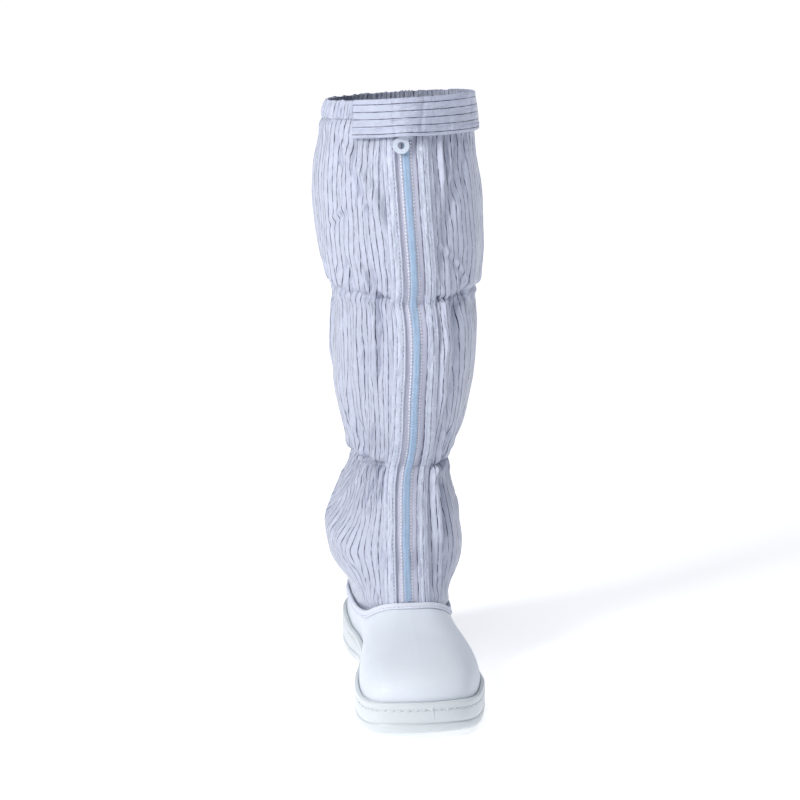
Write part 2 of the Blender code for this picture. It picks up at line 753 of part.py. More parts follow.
def make_strap(leg, finish):
    """From its free end on the inner side, over the zip, to its seam on the outer side."""
    rows = strap_rows(leg)
    top = rows[-1]
    columns = np.linspace(0.0, 1.0, BACK_COLUMNS)
    edge = ZIP_GAP / 2.0
    stations = []
    for side, reach in ((-1.0, STRAP_INNER_REACH), (1.0, STRAP_OUTER_REACH)):
        end = reach_share(leg, top, side, reach)
        shares = [share for share in columns if share < end - 0.02] + [end]
        half = [(side * edge, None), (side * TAPE_WIDTH, None)] + [(side, share) for share in shares]
        stations.append(half)
    sections = []
    for place, share in [*stations[0][::-1], (0.0, None), *stations[1]]:
        outside = []
        inside = []
        for row in rows:
            low_share = (top - row) / (top - rows[0])
            around = place
            if share is not None:
                facing = place * (edge + PLACKET_WIDTH)
                around = facing + (leg.back(row)[0 if place < 0.0 else 1] - facing) * share
            out = strap_out(around, low_share)
            inside.append(leg.point(row, around, out))
            outside.append(leg.point(row, around, out + STRAP_THICKNESS))
        sections.append(outside + inside[::-1])
    add_sweep("cuff_strap", sections, finish)


class Mount:
    """Axes on the front of the leg: right, up along the zip, and out from it."""

    def __init__(self, leg, row, out):
        self.origin = leg.point(row, 0.0, out)
        up = leg.point(row + 0.2, 0.0, out) - leg.point(row - 0.2, 0.0, out)
        up[0] = 0.0
        self.up = up / np.linalg.norm(up)
        self.right = np.array([1.0, 0.0, 0.0])
        self.out = np.cross(self.right, self.up)

    def place(self, right, up, out):
        return self.origin + self.right * right + self.up * up + self.out * out


def pull_mount(leg):
    """The axle's place: inside the bridge, a little above the strap's lower edge."""
    edge = leg.point(strap_rows(leg)[0], 0.0)[2]
    row = leg.row_at_height(edge + PULL_ABOVE_STRAP_EDGE)
    return Mount(leg, row, COIL_THICKNESS + GAP + SLIDER_PLATE + BRIDGE_OPENING / 2.0)


def make_slider(leg, finish):
    """A channel over the coil, wide at its shoulders, with an arched bridge for the pull."""
    mount = pull_mount(leg)
    plate_top = -BRIDGE_OPENING / 2.0
    plate_low = plate_top - SLIDER_PLATE
    flange = plate_low - GAP - COIL_THICKNESS * 0.75
    inner = COIL_WIDTH / 2.0 + GAP
    sections = []
    for up, width in ((-0.5, SLIDER_FOOT_WIDTH), (0.1, SLIDER_FOOT_WIDTH), (0.5, SLIDER_WIDTH)):
        half = width / 2.0
        shape = [(-half, flange), (-half, plate_top), (half, plate_top), (half, flange)]
        shape += [(inner, flange), (inner, plate_low), (-inner, plate_low), (-inner, flange)]
        sections.append([mount.place(right, up * SLIDER_LENGTH, out) for right, out in shape])
    slider = add_sweep("zip_slider", sections, finish)
    reach = BRIDGE_LENGTH / 2.0
    rise = BRIDGE_OPENING / 2.0
    sunk = plate_top - SLIDER_PLATE / 2.0
    path = [(-reach, sunk), (-reach, rise * 0.5), (-reach * 0.55, rise + BRIDGE_BAR)]
    path += [(reach * 0.55, rise + BRIDGE_BAR), (reach, rise * 0.5), (reach, sunk)]
    clear = reach - BRIDGE_BAR
    hollow = [(-clear, sunk), (-clear, rise * 0.4), (-clear * 0.6, rise)]
    hollow += [(clear * 0.6, rise), (clear, rise * 0.4), (clear, sunk)]
    sections = []
    for (up, out), (inner_up, inner_out) in zip(path, hollow):
        section = []
        for right in (-BRIDGE_WIDTH / 2.0, BRIDGE_WIDTH / 2.0):
            section.append(mount.place(right, up, out))
        for right in (BRIDGE_WIDTH / 2.0, -BRIDGE_WIDTH / 2.0):
            section.append(mount.place(right, inner_up, inner_out))
        sections.append(section)
    bridge = add_sweep("slider_bridge", sections, finish)
    bridge.hide_render = True
    bridge.display_type = "WIRE"
    joined = slider.modifiers.new("bridge", "BOOLEAN")
    joined.operation = "UNION"
    joined.solver = "EXACT"
    joined.object = bridge


def circle(radius, centre, start, sweep, count):
    """Points round part of a circle, with one at each end."""
    angles = start + sweep * np.arange(count) / (count - 1)
    return [(centre[0] + radius * math.cos(a), centre[1] + radius * math.sin(a)) for a in angles]


def make_pull(leg, finish):
    """A flat round ended pull. Its top bar is the axle, and its window clears the bridge."""
    mount = pull_mount(leg)
    window = BRIDGE_WIDTH / 2.0 + PULL_CLEARANCE
    frame = window + PULL_ARM
    far_corner = math.hypot(BRIDGE_LENGTH / 2.0, BRIDGE_OPENING / 2.0 + BRIDGE_BAR)
    foot = far_corner + PULL_CLEARANCE
    centre = (-PULL_REACH * math.sin(PULL_LEAN), -PULL_REACH * math.cos(PULL_LEAN))
    towards = math.pi / 2.0 - PULL_LEAN
    outer = [(-frame, -foot), (-frame, PULL_AXLE / 2.0), (frame, PULL_AXLE / 2.0), (frame, -foot)]
    outer += circle(PULL_DIAMETER / 2.0, centre, towards - PULL_NECK, 2.0 * PULL_NECK - FULL_TURN, 22)
    hole = circle(PULL_HOLE / 2.0, centre, 0.0, FULL_TURN, 17)[:-1]
    slot = [(-window, -foot), (-window, -PULL_AXLE / 2.0), (window, -PULL_AXLE / 2.0), (window, -foot)]
    mesh = bpy.data.meshes.new("zip_pull")
    work = bmesh.new()
    for loop in (outer, hole, slot):
        corners = [work.verts.new((right, up, -PULL_THICKNESS / 2.0)) for right, up in loop]
        for first, second in zip(corners, corners[1:] + corners[:1]):
            work.edges.new((first, second))
    bmesh.ops.triangle_fill(work, use_beauty=True, use_dissolve=False, edges=work.edges)
    raised = bmesh.ops.extrude_face_region(work, geom=list(work.faces))
    top = [item for item in raised["geom"] if isinstance(item, bmesh.types.BMVert)]
    bmesh.ops.translate(work, verts=top, vec=(0.0, 0.0, PULL_THICKNESS))
    bmesh.ops.recalc_face_normals(work, faces=work.faces)
    for corner in work.verts:
        right, up, out = corner.co
        corner.co = mount.place(right, up, out) - mount.origin
    if work.calc_volume(signed=True) < 0.0:
        bmesh.ops.reverse_faces(work, faces=work.faces)
    work.to_mesh(mesh)
    work.free()
    mesh.materials.append(finish)
    pull = bpy.data.objects.new("zip_pull", mesh)
    pull.location = mount.origin
    bpy.context.scene.collection.objects.link(pull)


def main():
    for leftover in list(bpy.data.objects):
        bpy.data.objects.remove(leftover)
    white = material("white_leather", (0.80, 0.82, 0.84), 0.42)
    moulded = material("white_sole", (0.78, 0.80, 0.80), 0.38)
    stripe = material("striped_fabric", (0.62, 0.64, 0.76), 0.65)
    trim = material("binding_tape", (0.74, 0.76, 0.80), 0.7)
    tape = material("zip_tape", (0.60, 0.62, 0.72), 0.75)
    coil = material("zip_coil", (0.42, 0.58, 0.76), 0.35)
    plastic = material("pull_plastic", (0.70, 0.76, 0.84), 0.30)
    footbed = material("footbed", (0.55, 0.57, 0.62), 0.85)
    make_sole(moulded)
    make_insole(footbed)
    make_upper(white)
    make_binding(trim)
    leg = Leg()
    make_shaft(leg, stripe)
    make_zip(leg, tape, coil, stripe)
    make_cuff(leg, stripe)
    make_strap(leg, stripe)
    make_slider(leg, plastic)
    make_pull(leg, plastic)


main()
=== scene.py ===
"""Looks of the cleanroom boot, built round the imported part.

Lengths are metres in the part's own frame: +Z up, the toe to -Y, the foot's inner side at -X.
The cloth's folds and the tables for them are in millimetres, as their comments say.
"""

import math

import bmesh
import bpy
import numpy as np
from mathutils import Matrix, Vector


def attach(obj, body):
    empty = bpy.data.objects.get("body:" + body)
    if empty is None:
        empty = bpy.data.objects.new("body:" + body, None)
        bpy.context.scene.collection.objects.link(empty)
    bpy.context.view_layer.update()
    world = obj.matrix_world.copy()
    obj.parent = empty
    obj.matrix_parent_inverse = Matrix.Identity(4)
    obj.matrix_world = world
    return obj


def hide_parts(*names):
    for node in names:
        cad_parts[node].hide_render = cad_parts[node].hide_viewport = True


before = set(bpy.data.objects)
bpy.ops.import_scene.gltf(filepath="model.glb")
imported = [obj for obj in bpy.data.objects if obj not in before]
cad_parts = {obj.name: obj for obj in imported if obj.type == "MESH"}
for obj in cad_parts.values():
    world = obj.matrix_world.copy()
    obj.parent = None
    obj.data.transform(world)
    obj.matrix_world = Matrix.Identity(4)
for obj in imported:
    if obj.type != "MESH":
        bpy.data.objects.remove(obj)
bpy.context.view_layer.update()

# The sizes and tables that the part is built from come first. Sole:
SOLE_LENGTH = 0.265
HEEL_OVERHANG = 0.036
BALL_WIDTH = 0.094
FOREFOOT_THICKNESS = 0.0105
HEEL_THICKNESS = 0.0175
ARCH_LIFT = 0.0035
TOE_SPRING = 0.0050
LIP_HEIGHT = 0.0225
HEEL_LIP_RISE = 0.011
LIP_THICKNESS = 0.0032
EDGE_ROUND = 0.0034
SIDE_GROOVE_HEIGHT = 0.0076
SIDE_GROOVE_WIDTH = 0.0020
SIDE_GROOVE_DEPTH = 0.0009
STITCH_LINE_DROP = 0.0052
STITCH_LINE_WIDTH = 0.0018
STITCH_LINE_DEPTH = 0.0006
TREAD_GROOVE_WIDTH = 0.0032
TREAD_GROOVE_DEPTH = 0.0024
TREAD_PITCH = 0.0125
TREAD_BORDER = 0.0075
BALL_STATION = 0.180

# Upper and binding
UPPER_WALL = 0.0018
TOPLINE_LENGTH = 0.150
TOPLINE_BACK = 0.0085
TOPLINE_WIDTH = 0.072
TOPLINE_SIDE_HEIGHT = 0.0480
THROAT_RISE = 0.0180
HEEL_TOPLINE_RISE = 0.0085
VAMP_RISE = 0.030
BINDING_DROP = 0.0050
BINDING_THICKNESS = 0.0010

# Leg
BOOT_HEIGHT = 0.426
LEG_WIDTH = 0.119
LEG_DEPTH = 0.112
LEG_STATION = 0.074
LEG_WALL = 0.0010
SKIRT_FULLNESS = 0.40
LONGEST_RING_STEP = 0.019
CUFF_ROLL = 0.050
CUFF_SLUMP = 0.055
CUFF_ROLL_START = 0.80

# Zip, facings, cuff and strap
ZIP_GAP = 0.0150
TAPE_WIDTH = 0.0130
TAPE_THICKNESS = 0.0006
COIL_WIDTH = 0.0062
COIL_THICKNESS = 0.0020
PLACKET_WIDTH = 0.0085
PLACKET_THICKNESS = 0.0008
CUFF_HEIGHT = 0.0135
CUFF_THICKNESS = 0.0018
STRAP_HEIGHT = 0.0275
STRAP_THICKNESS = 0.0016
STRAP_INNER_REACH = 0.037
STRAP_OUTER_REACH = 0.098
STRAP_BRIDGE_WIDTH = 0.012
STRAP_FLARE = 0.0024

# Slider, under the strap
SLIDER_PLATE = 0.0011
BRIDGE_BAR = 0.0009
BRIDGE_OPENING = 0.0018

# Clearances: between pieces that lie on each other, and of the facings' foot over the binding
GAP = 0.0003
FACING_CLEARANCE = 0.0034

# How finely the leg is divided: the tucked rows are climbs inside the collar with their ease away
# from it in gaps, and the skirt's rows are shares of the way from the collar to the first ring.
RING_POINTS = 180
TUCKED_ROWS = ((0.86, 0.0), (0.93, 0.5), (1.0, 1.5))
SKIRT_ROWS = (0.10, 0.22, 0.40, 0.60, 0.80)

FULL_TURN = 2.0 * math.pi


def curve(at, values, slopes, wanted):
    """A cubic through rows of values at rising places, with a slope at each."""
    row = np.clip(np.searchsorted(at, wanted) - 1, 0, len(at) - 2)
    span = at[row + 1] - at[row]
    part = (wanted - at[row]) / span
    if values.ndim > 1:
        span, part = span[:, None, None], part[:, None, None]
    rise = part * part * (3.0 - 2.0 * part)
    start = values[row] + (values[row + 1] - values[row]) * rise
    lead = slopes[row] * span * part * (1.0 - part) ** 2
    tail = slopes[row + 1] * span * part * part * (1.0 - part)
    return start + lead - tail


class Table:
    """Given rows under named columns, read as a smooth curve over the first column."""

    def __init__(self, columns, rows, rounded_ends=False):
        values = np.array(rows, float).T
        self.rounded_ends = rounded_ends
        self.at = self.key(values[0])
        self.columns = dict(zip(columns.split(), values))

    def key(self, share):
        share = np.clip(share, 0.0, 1.0)
        return np.arccos(1.0 - 2.0 * share) if self.rounded_ends else share

    def slopes(self, values):
        """Each row's slope from its neighbours, level at a turning point and nowhere too steep."""
        climbs = np.diff(values) / np.diff(self.at)
        slopes = np.gradient(values, self.at)
        steepest = 3.0 * np.minimum(np.abs(climbs[:-1]), np.abs(climbs[1:]))
        steepest[climbs[:-1] * climbs[1:] <= 0.0] = 0.0
        slopes[1:-1] = np.clip(slopes[1:-1], -steepest, steepest)
        return slopes

    def read(self, column, share):
        """A cubic through the rows that never swings past a row's own value."""
        values = self.columns[column]
        return curve(self.at, values, self.slopes(values), self.key(np.asarray(share, float)))


# Shares of the sole's length, and of half the ball's width on the inner and outer side.
OUTLINE = Table(
    "station inner outer",
    [
        (0.00, 0.00, 0.00), (0.03, 0.46, 0.46), (0.08, 0.66, 0.66), (0.15, 0.73, 0.73),
        (0.24, 0.715, 0.74), (0.34, 0.65, 0.74), (0.44, 0.67, 0.80), (0.56, 0.79, 0.92),
        (0.66, 0.92, 0.99), (0.75, 1.00, 0.985), (0.83, 1.02, 0.90), (0.90, 0.985, 0.78),
        (0.945, 0.90, 0.655), (0.975, 0.75, 0.485), (0.992, 0.49, 0.24), (1.00, 0.14, -0.14),
    ],
    rounded_ends=True,
)

# The sole's edge by station: the lip over the forefoot's lip, as a share of the heel's extra
# rise, the arch's lift, the toe's spring and how far the floor has climbed to the heel.
SOLE_LEVELS = Table(
    "station lip arch spring heel",
    [
        (0.00, 1.00, 0.00, 0.00, 1.00), (0.08, 0.78, 0.00, 0.00, 1.00),
        (0.16, 0.38, 0.00, 0.00, 1.00), (0.27, 0.02, 0.00, 0.00, 0.88),
        (0.40, -0.14, 1.00, 0.00, 0.52), (0.54, -0.14, 0.10, 0.00, 0.10),
        (0.66, -0.06, 0.00, 0.00, 0.00), (0.80, 0.00, 0.00, 0.00, 0.00),
        (0.90, 0.00, 0.00, 0.28, 0.00), (1.00, 0.00, 0.00, 1.00, 0.00),
    ],
)

# The collar's loop by its own station: half widths as shares of half its width, and height as
# a share of the rise to the throat in front or to the heel behind.
TOPLINE = Table(
    "station inner outer throat heel",
    [
        (0.00, 0.00, 0.00, 0.00, 1.00), (0.05, 0.44, 0.46, 0.00, 0.90),
        (0.16, 0.76, 0.80, 0.00, 0.55), (0.32, 0.90, 1.00, 0.00, 0.16),
        (0.50, 0.90, 1.04, 0.00, 0.00), (0.66, 0.86, 1.00, 0.07, 0.00),
        (0.80, 0.78, 0.88, 0.28, 0.00), (0.91, 0.64, 0.68, 0.68, 0.00),
        (0.97, 0.43, 0.40, 0.92, 0.00), (1.00, 0.06, -0.06, 1.00, 0.00),
    ],
    rounded_ends=True,
)

# The upper's wall over each station of the sole's edge: where it ends on the collar's loop, how
# high it rises upright, and how it comes into the collar, outward and from below. The last
# three are shares of the vamp's rise.
UPPER_WALLS = Table(
    "station collar upright outward below",
    [
        (0.00, 0.00, 0.30, 0.00, 0.30), (0.12, 0.15, 0.32, 0.02, 0.30),
        (0.24, 0.32, 0.36, 0.03, 0.30), (0.36, 0.49, 0.42, 0.05, 0.32),
        (0.48, 0.64, 0.52, 0.10, 0.34), (0.60, 0.77, 0.62, 0.22, 0.36),
        (0.72, 0.875, 0.74, 0.46, 0.40), (0.84, 0.945, 0.82, 0.85, 0.46),
        (0.94, 0.985, 0.88, 1.20, 0.52), (1.00, 1.00, 0.90, 1.35, 0.54),
    ],
    rounded_ends=True,
)

# The leg's rings from above the collar to the cuff: height as a share of the boot's height,
# station, side shift and half widths as shares of the leg's depth and width.
LEG_RINGS = Table(
    "height forward aside width depth",
    [
        (0.220, 0.050, -0.006, 0.405, 0.545), (0.246, 0.045, -0.010, 0.410, 0.545),
        (0.278, 0.030, 0.000, 0.382, 0.500), (0.318, 0.010, 0.012, 0.343, 0.430),
        (0.352, -0.010, 0.028, 0.305, 0.385), (0.370, -0.015, 0.042, 0.286, 0.362),
        (0.390, -0.012, 0.052, 0.312, 0.385), (0.430, -0.005, 0.058, 0.366, 0.440),
        (0.485, 0.010, 0.054, 0.412, 0.488), (0.545, 0.025, 0.060, 0.430, 0.508),
        (0.605, 0.030, 0.062, 0.432, 0.498), (0.640, 0.020, 0.058, 0.421, 0.455),
        (0.656, 0.012, 0.054, 0.414, 0.425), (0.674, 0.010, 0.058, 0.432, 0.445),
        (0.706, 0.010, 0.052, 0.474, 0.482), (0.760, 0.010, 0.036, 0.500, 0.500),
        (0.840, 0.008, 0.018, 0.500, 0.478), (0.915, 0.002, 0.010, 0.474, 0.425),
        (0.965, 0.000, 0.018, 0.448, 0.378), (1.000, 0.000, 0.026, 0.424, 0.352),
    ],
)


def unit(vectors):
    """The same directions, each of length one."""
    return vectors / np.maximum(np.linalg.norm(vectors, axis=-1, keepdims=True), 1e-12)


def distance_along(path):
    """Distance from a path's start to each of its points."""
    steps = np.linalg.norm(np.diff(path, axis=0), axis=1)
    return np.concatenate([[0.0], np.cumsum(steps)])


def read_along(places, run, values):
    """Points or directions of a path, read at distances along it."""
    return np.stack([np.interp(places, run, values[:, axis]) for axis in range(3)], -1)


def blend(part, start, low, high, end):
    """A cubic curve from start to end, drawn towards low and high."""
    rest = 1.0 - part
    return rest**3 * start + 3.0 * rest**2 * part * low + 3.0 * rest * part**2 * high + part**3 * end


def station_of(turn):
    """Share of a loop's length reached after a turn that starts at the heel's back."""
    return (1.0 - np.cos(turn)) / 2.0


def side_of(turn):
    """-1 along the inner side of the foot and 1 along the outer side."""
    return np.where(np.mod(turn, FULL_TURN) <= math.pi, -1.0, 1.0)


def loop_point(table, turn, length, half_width):
    """Forward distance and sideways place of a loop whose two sides are in a table."""
    share = station_of(turn)
    side = side_of(turn)
    reach = np.where(side < 0.0, table.read("inner", share), table.read("outer", share))
    return share * length, side * reach * half_width


def outline(turn, inset=0.0):
    """Plan position of the sole's edge, moved inward by the inset."""
    step = 0.004
    forward, aside = loop_point(OUTLINE, turn, SOLE_LENGTH, BALL_WIDTH / 2.0)
    after = loop_point(OUTLINE, turn + step, SOLE_LENGTH, BALL_WIDTH / 2.0)
    before = loop_point(OUTLINE, turn - step, SOLE_LENGTH, BALL_WIDTH / 2.0)
    along_y = before[0] - after[0]
    along_x = after[1] - before[1]
    size = np.hypot(along_x, along_y)
    x = aside - along_y / size * inset
    y = HEEL_OVERHANG - forward + along_x / size * inset
    return x, y


def sole_level(turn, start, column, climb):
    """A level of the sole: its start, its climb read from a column, and the toe's spring."""
    share = station_of(turn)
    spring = TOE_SPRING * SOLE_LEVELS.read("spring", share)
    return start + climb * SOLE_LEVELS.read(column, share) + spring


def tread_height(turn):
    return sole_level(turn, 0.0, "arch", ARCH_LIFT)


def floor_height(turn):
    return sole_level(turn, FOREFOOT_THICKNESS, "heel", HEEL_THICKNESS - FOREFOOT_THICKNESS)


def lip_height(turn):
    return sole_level(turn, LIP_HEIGHT, "lip", HEEL_LIP_RISE)


def upright(x, y, z):
    return np.stack(np.broadcast_arrays(x, y, z), -1)


def collar_turn(turn):
    """The turn on the collar's loop at which the wall over this turn of the sole ends."""
    share = UPPER_WALLS.read("collar", station_of(turn))
    half = np.arccos(np.clip(1.0 - 2.0 * share, -1.0, 1.0))
    return np.where(side_of(turn) < 0.0, half, FULL_TURN - half)


def collar_point(turn):
    """The upper's top edge at a turn of the collar's own loop."""
    forward, aside = loop_point(TOPLINE, turn, TOPLINE_LENGTH, TOPLINE_WIDTH / 2.0)
    share = station_of(turn)
    front = THROAT_RISE * TOPLINE.read("throat", share)
    height = TOPLINE_SIDE_HEIGHT + front + HEEL_TOPLINE_RISE * TOPLINE.read("heel", share)
    return upright(aside, HEEL_OVERHANG - TOPLINE_BACK - forward, height)


def upper_face(turn, climb):
    """The upper's outer face: climb is 0 at the sole's lip and 1 at the collar's edge."""
    turn = np.asarray(turn, float)
    climb = np.asarray(climb, float)[..., None]
    share = station_of(turn)
    base = upright(*outline(turn, LIP_THICKNESS + GAP), lip_height(turn))
    top = collar_point(collar_turn(turn))
    lift = UPPER_WALLS.read("upright", share) * VAMP_RISE
    outward = UPPER_WALLS.read("outward", share) * VAMP_RISE
    below = UPPER_WALLS.read("below", share) * VAMP_RISE
    away = unit(base[..., :2] - top[..., :2])
    low = base + upright(0.0 * lift, 0.0 * lift, lift)
    high = top + upright(away[..., 0] * outward, away[..., 1] * outward, -below)
    return blend(climb, base, low, high, top)


def upper_point(turn, climb, out=0.0):
    """A point off the upper's outer face, along the face's own normal."""
    step = 0.004
    turn, climb = np.broadcast_arrays(np.asarray(turn, float), np.asarray(climb, float))
    low = np.clip(climb - step, 0.0, 1.0)
    high = np.clip(climb + step, 0.0, 1.0)
    up = upper_face(turn, high) - upper_face(turn, low)
    along = upper_face(turn + step, climb) - upper_face(turn - step, climb)
    return upper_face(turn, climb) + unit(np.cross(along, up)) * out


def leg_ring(height_share, turn):
    """A ring of the leg's inner face. The cuff is higher on the outer side and slumps behind."""
    half_width = LEG_RINGS.read("width", height_share) * LEG_WIDTH
    half_depth = LEG_RINGS.read("depth", height_share) * LEG_DEPTH
    station = LEG_STATION + LEG_RINGS.read("forward", height_share) * LEG_DEPTH
    middle = LEG_RINGS.read("aside", height_share) * LEG_WIDTH
    x = middle - half_width * np.sin(turn)
    y = HEEL_OVERHANG - station + half_depth * np.cos(turn)
    near_top = np.clip((height_share - CUFF_ROLL_START) / (1.0 - CUFF_ROLL_START), 0.0, 1.0)
    slump = CUFF_SLUMP * half_depth * (1.0 + np.cos(turn))
    return upright(x, y, height_share * BOOT_HEIGHT + near_top * (CUFF_ROLL * (x - middle) - slump))


def leg_rows():
    """The leg's rings from inside the collar to the cuff, each a loop of the same turns."""
    turn = np.arange(RING_POINTS) * FULL_TURN / RING_POINTS
    dense = np.linspace(0.0, FULL_TURN, 2001)
    on_sole = np.interp(turn, np.unwrap(collar_turn(dense)), dense)
    inside = UPPER_WALL + 1.5 * GAP + LEG_WALL
    rows = [upper_point(on_sole, climb, -inside - ease * GAP) for climb, ease in TUCKED_ROWS]
    start = rows[-1]
    end = leg_ring(LEG_RINGS.at[0], turn)
    span = end[:, 2:] - start[:, 2:]
    rise = np.array([0.0, 0.0, 1.0])
    inward = unit((start.mean(axis=0) - start) * np.array([1.0, 1.0, 0.0]))
    low = start + rise * span * SKIRT_FULLNESS + inward * 3.0 * GAP
    high = end - rise * span * SKIRT_FULLNESS
    rows += [blend(part, start, low, high, end) for part in SKIRT_ROWS]
    shares = LEG_RINGS.at
    for low_share, high_share in zip(shares[:-1], shares[1:]):
        rows.append(leg_ring(low_share, turn))
        if (high_share - low_share) * BOOT_HEIGHT > LONGEST_RING_STEP:
            rows.append(leg_ring((low_share + high_share) / 2.0, turn))
    rows.append(leg_ring(shares[-1], turn))
    return np.array(rows)


# The scene's own values start here. How finely it divides the pieces:
CLOTH_COLUMNS = 372
CLOTH_STEP = 0.00128
STRIP_STEP = 0.0011
RING_RESAMPLE = 4
CUFF_COLUMNS = 700
COIL_TURN_POINTS = 12
UPPER_TURNS = 480
UPPER_CLIMBS = 44
SOLE_TURNS = 960
MM = 0.001

# Cloth: its thickness, and the width that it is cut to, in millimetres
CLOTH_THICKNESS = 0.0005
CLOTH_CUT = 440.0

# Heights at which the cloth's three lengths meet, in metres
ANKLE_JOIN = 0.1572
CALF_JOIN = 0.2835

# Elastic lines: distance round from the zip and height of the line, in millimetres
CUFF_LINE_HEIGHT = 411.0
CALF_LINE = (
    (-180.0, 288.0), (-64.0, 289.0), (-40.0, 286.0), (-20.0, 283.0),
    (0.0, 282.0), (27.0, 284.0), (51.0, 286.0), (180.0, 288.0),
)
ANKLE_LINE = (
    (-180.0, 160.0), (-45.0, 163.0), (-28.0, 160.0), (-10.0, 157.0),
    (8.0, 156.5), (19.0, 157.0), (42.0, 157.5), (180.0, 160.0),
)
CUFF_LINE = ((-180.0, CUFF_LINE_HEIGHT), (180.0, CUFF_LINE_HEIGHT))

# Pleats at an elastic line: how much in millimetres, how far up and down they reach and their pitch
GATHER_PLEATS = ((0.65, 7.0, 4.4), (1.15, 18.0, 8.5), (1.5, 46.0, 18.0))

# Layers of noise: how much in millimetres, its size across and up the cloth, and its seed.
# The first set lifts the cloth, and the second shifts its stripes sideways.
CLOTH_WAVES = (
    (0.9, 22.0, 34.0, 41), (0.75, 9.5, 44.0, 42), (0.38, 4.6, 24.0, 43), (0.15, 4.0, 7.0, 44),
)
STRIPE_WANDER = ((1.1, 12.0, 14.0, 61), (0.3, 5.0, 6.0, 62), (2.0, 26.0, 34.0, 63))

# How much of the stripes' shift shows away from the elastic lines, and how much more at each
WANDER_AWAY = 0.5
WANDER_AT_LINE = 0.9

# How far the leg's cloth goes down inside the collar
LEG_TUCK = 0.004

# Height from which the strap and cuff hold the cloth down, and its most rise there, in millimetres
HELD_FROM = 395.0
HELD_RISE = 1.6

# How far the cloth bulges over the collar's edge, in millimetres
RIM_BULGE = 1.8

# The ankle's stripes lean on the inner side: sideways over height, and the height of no shift
SKEW_SLOPE = 0.72
SKEW_LEVEL = 122.0

# A crease's rise is the table's number times the gain, and its tail is in half widths
CREASE_GAIN = 1.9
CREASE_TAIL = 3.0

# Facings: the rows of stitches from the zip's edge, and the round of the edges
FACING_ROWS = (0.0017, 0.0068)
FACING_EDGE_ROUND = 0.0006

# How the lines of elastic draw the facings in: each line's height and reach, in millimetres
FACING_DRAWN = ((283.0, 8.0), (157.0, 8.0), (CUFF_LINE_HEIGHT, 9.0))

# The tapes' stitches, from the middle of the zip
TAPE_STITCHES_AT = 0.0038

# The rows of the casing's 20 and of the strap's 42 that bear stitches
CUFF_STITCH_ROW = 3
STRAP_STITCH_ROWS = (7, 38)

# Folds across the strap: depth, distance round, lean over its height and half width, in millimetres
STRAP_FOLDS = (
    (0.55, -9.5, 2.0, 1.3), (0.6, 11.5, -2.5, 1.5), (0.35, 31.0, 0.0, 1.8), (0.3, 52.0, 0.0, 2.5),
)

# The binding's outer face: places down from the edge and how far out, as shares of its drop
# and thickness
BINDING_SECTION = (
    (1.0, 0.55), (0.97, 0.9), (0.86, 1.06), (0.72, 0.94), (0.58, 0.86), (0.36, 1.12), (0.16, 1.12),
)

# Rows of stitches by piece: half the thread's thickness, the stitch's length and the gap after it
STITCHES = {
    "placket_stitches": (0.00026, 0.0024, 0.0007),
    "tape_stitches": (0.00055, 0.0016, 0.0009),
    "cuff_stitches": (0.00024, 0.0022, 0.0008),
    "strap_stitches": (0.00022, 0.0022, 0.0008),
    "binding_stitches": (0.00026, 0.0020, 0.0011),
    "sole_dashes": (0.00062, 0.0036, 0.0020),
}

# Coil: the pitch of its turns, the wire's half thickness and how far the rows interlock
COIL_PITCH = 0.00125
COIL_WIRE = 0.00034
COIL_INTERLOCK = 0.0005

# The tread's grooves end over this distance on each side of its border
TREAD_FADE = 0.0015

# Sections of the sole's wall. A groove: places over half its width, and shares of its depth.
GROOVE_SECTION = (
    (-1.25, 0.0), (-1.0, 0.10), (-0.55, 0.75), (0.0, 1.0), (0.55, 0.75), (1.0, 0.10), (1.25, 0.0),
)
# The lip: how far inward and how far down, as shares of the lip's thickness
LIP_SECTION = (
    (0.0, 0.62), (0.03, 0.36), (0.14, 0.14), (0.34, 0.02), (0.60, 0.0), (0.86, 0.06), (1.0, 0.22),
)

# Toe's gate mark: its place aside from the toe's middle, as a share of half a turn
GATE_MARK_ASIDE = 0.018
GATE_MARK_WIDTH = 0.00070

# Camera, and the point that it and the lamps look at
CAMERA_PLACE = (-0.2938, -2.0371, 0.644)
CAMERA_LENS = 126.0
BOOT_MIDDLE = (0.004, -0.040, 0.199)

# The sky by its height: from the low end of the fade to the high end, and its strength at each
SKY_FADE = (0.10, 0.32, 0.80, 0.16)

# The floor's reach, and its glow from near the boot to far off: both distances and the glow at each
FLOOR_REACH = 40.0
FLOOR_GLOW = (0.4, 2.2, 0.46, 0.86)

# Each lamp as name, place, width and height, power in watts and colour
LAMPS = (
    ("key", (-1.6, -1.15, 1.55), (0.7, 0.7), 39.0, (1.0, 0.99, 0.98)),
    ("top", (0.0, -0.5, 2.2), (1.2, 1.2), 17.0, (1.0, 1.0, 1.0)),
    ("rim", (1.8, 0.9, 0.9), (0.6, 1.2), 5.0, (0.97, 0.98, 1.0)),
)
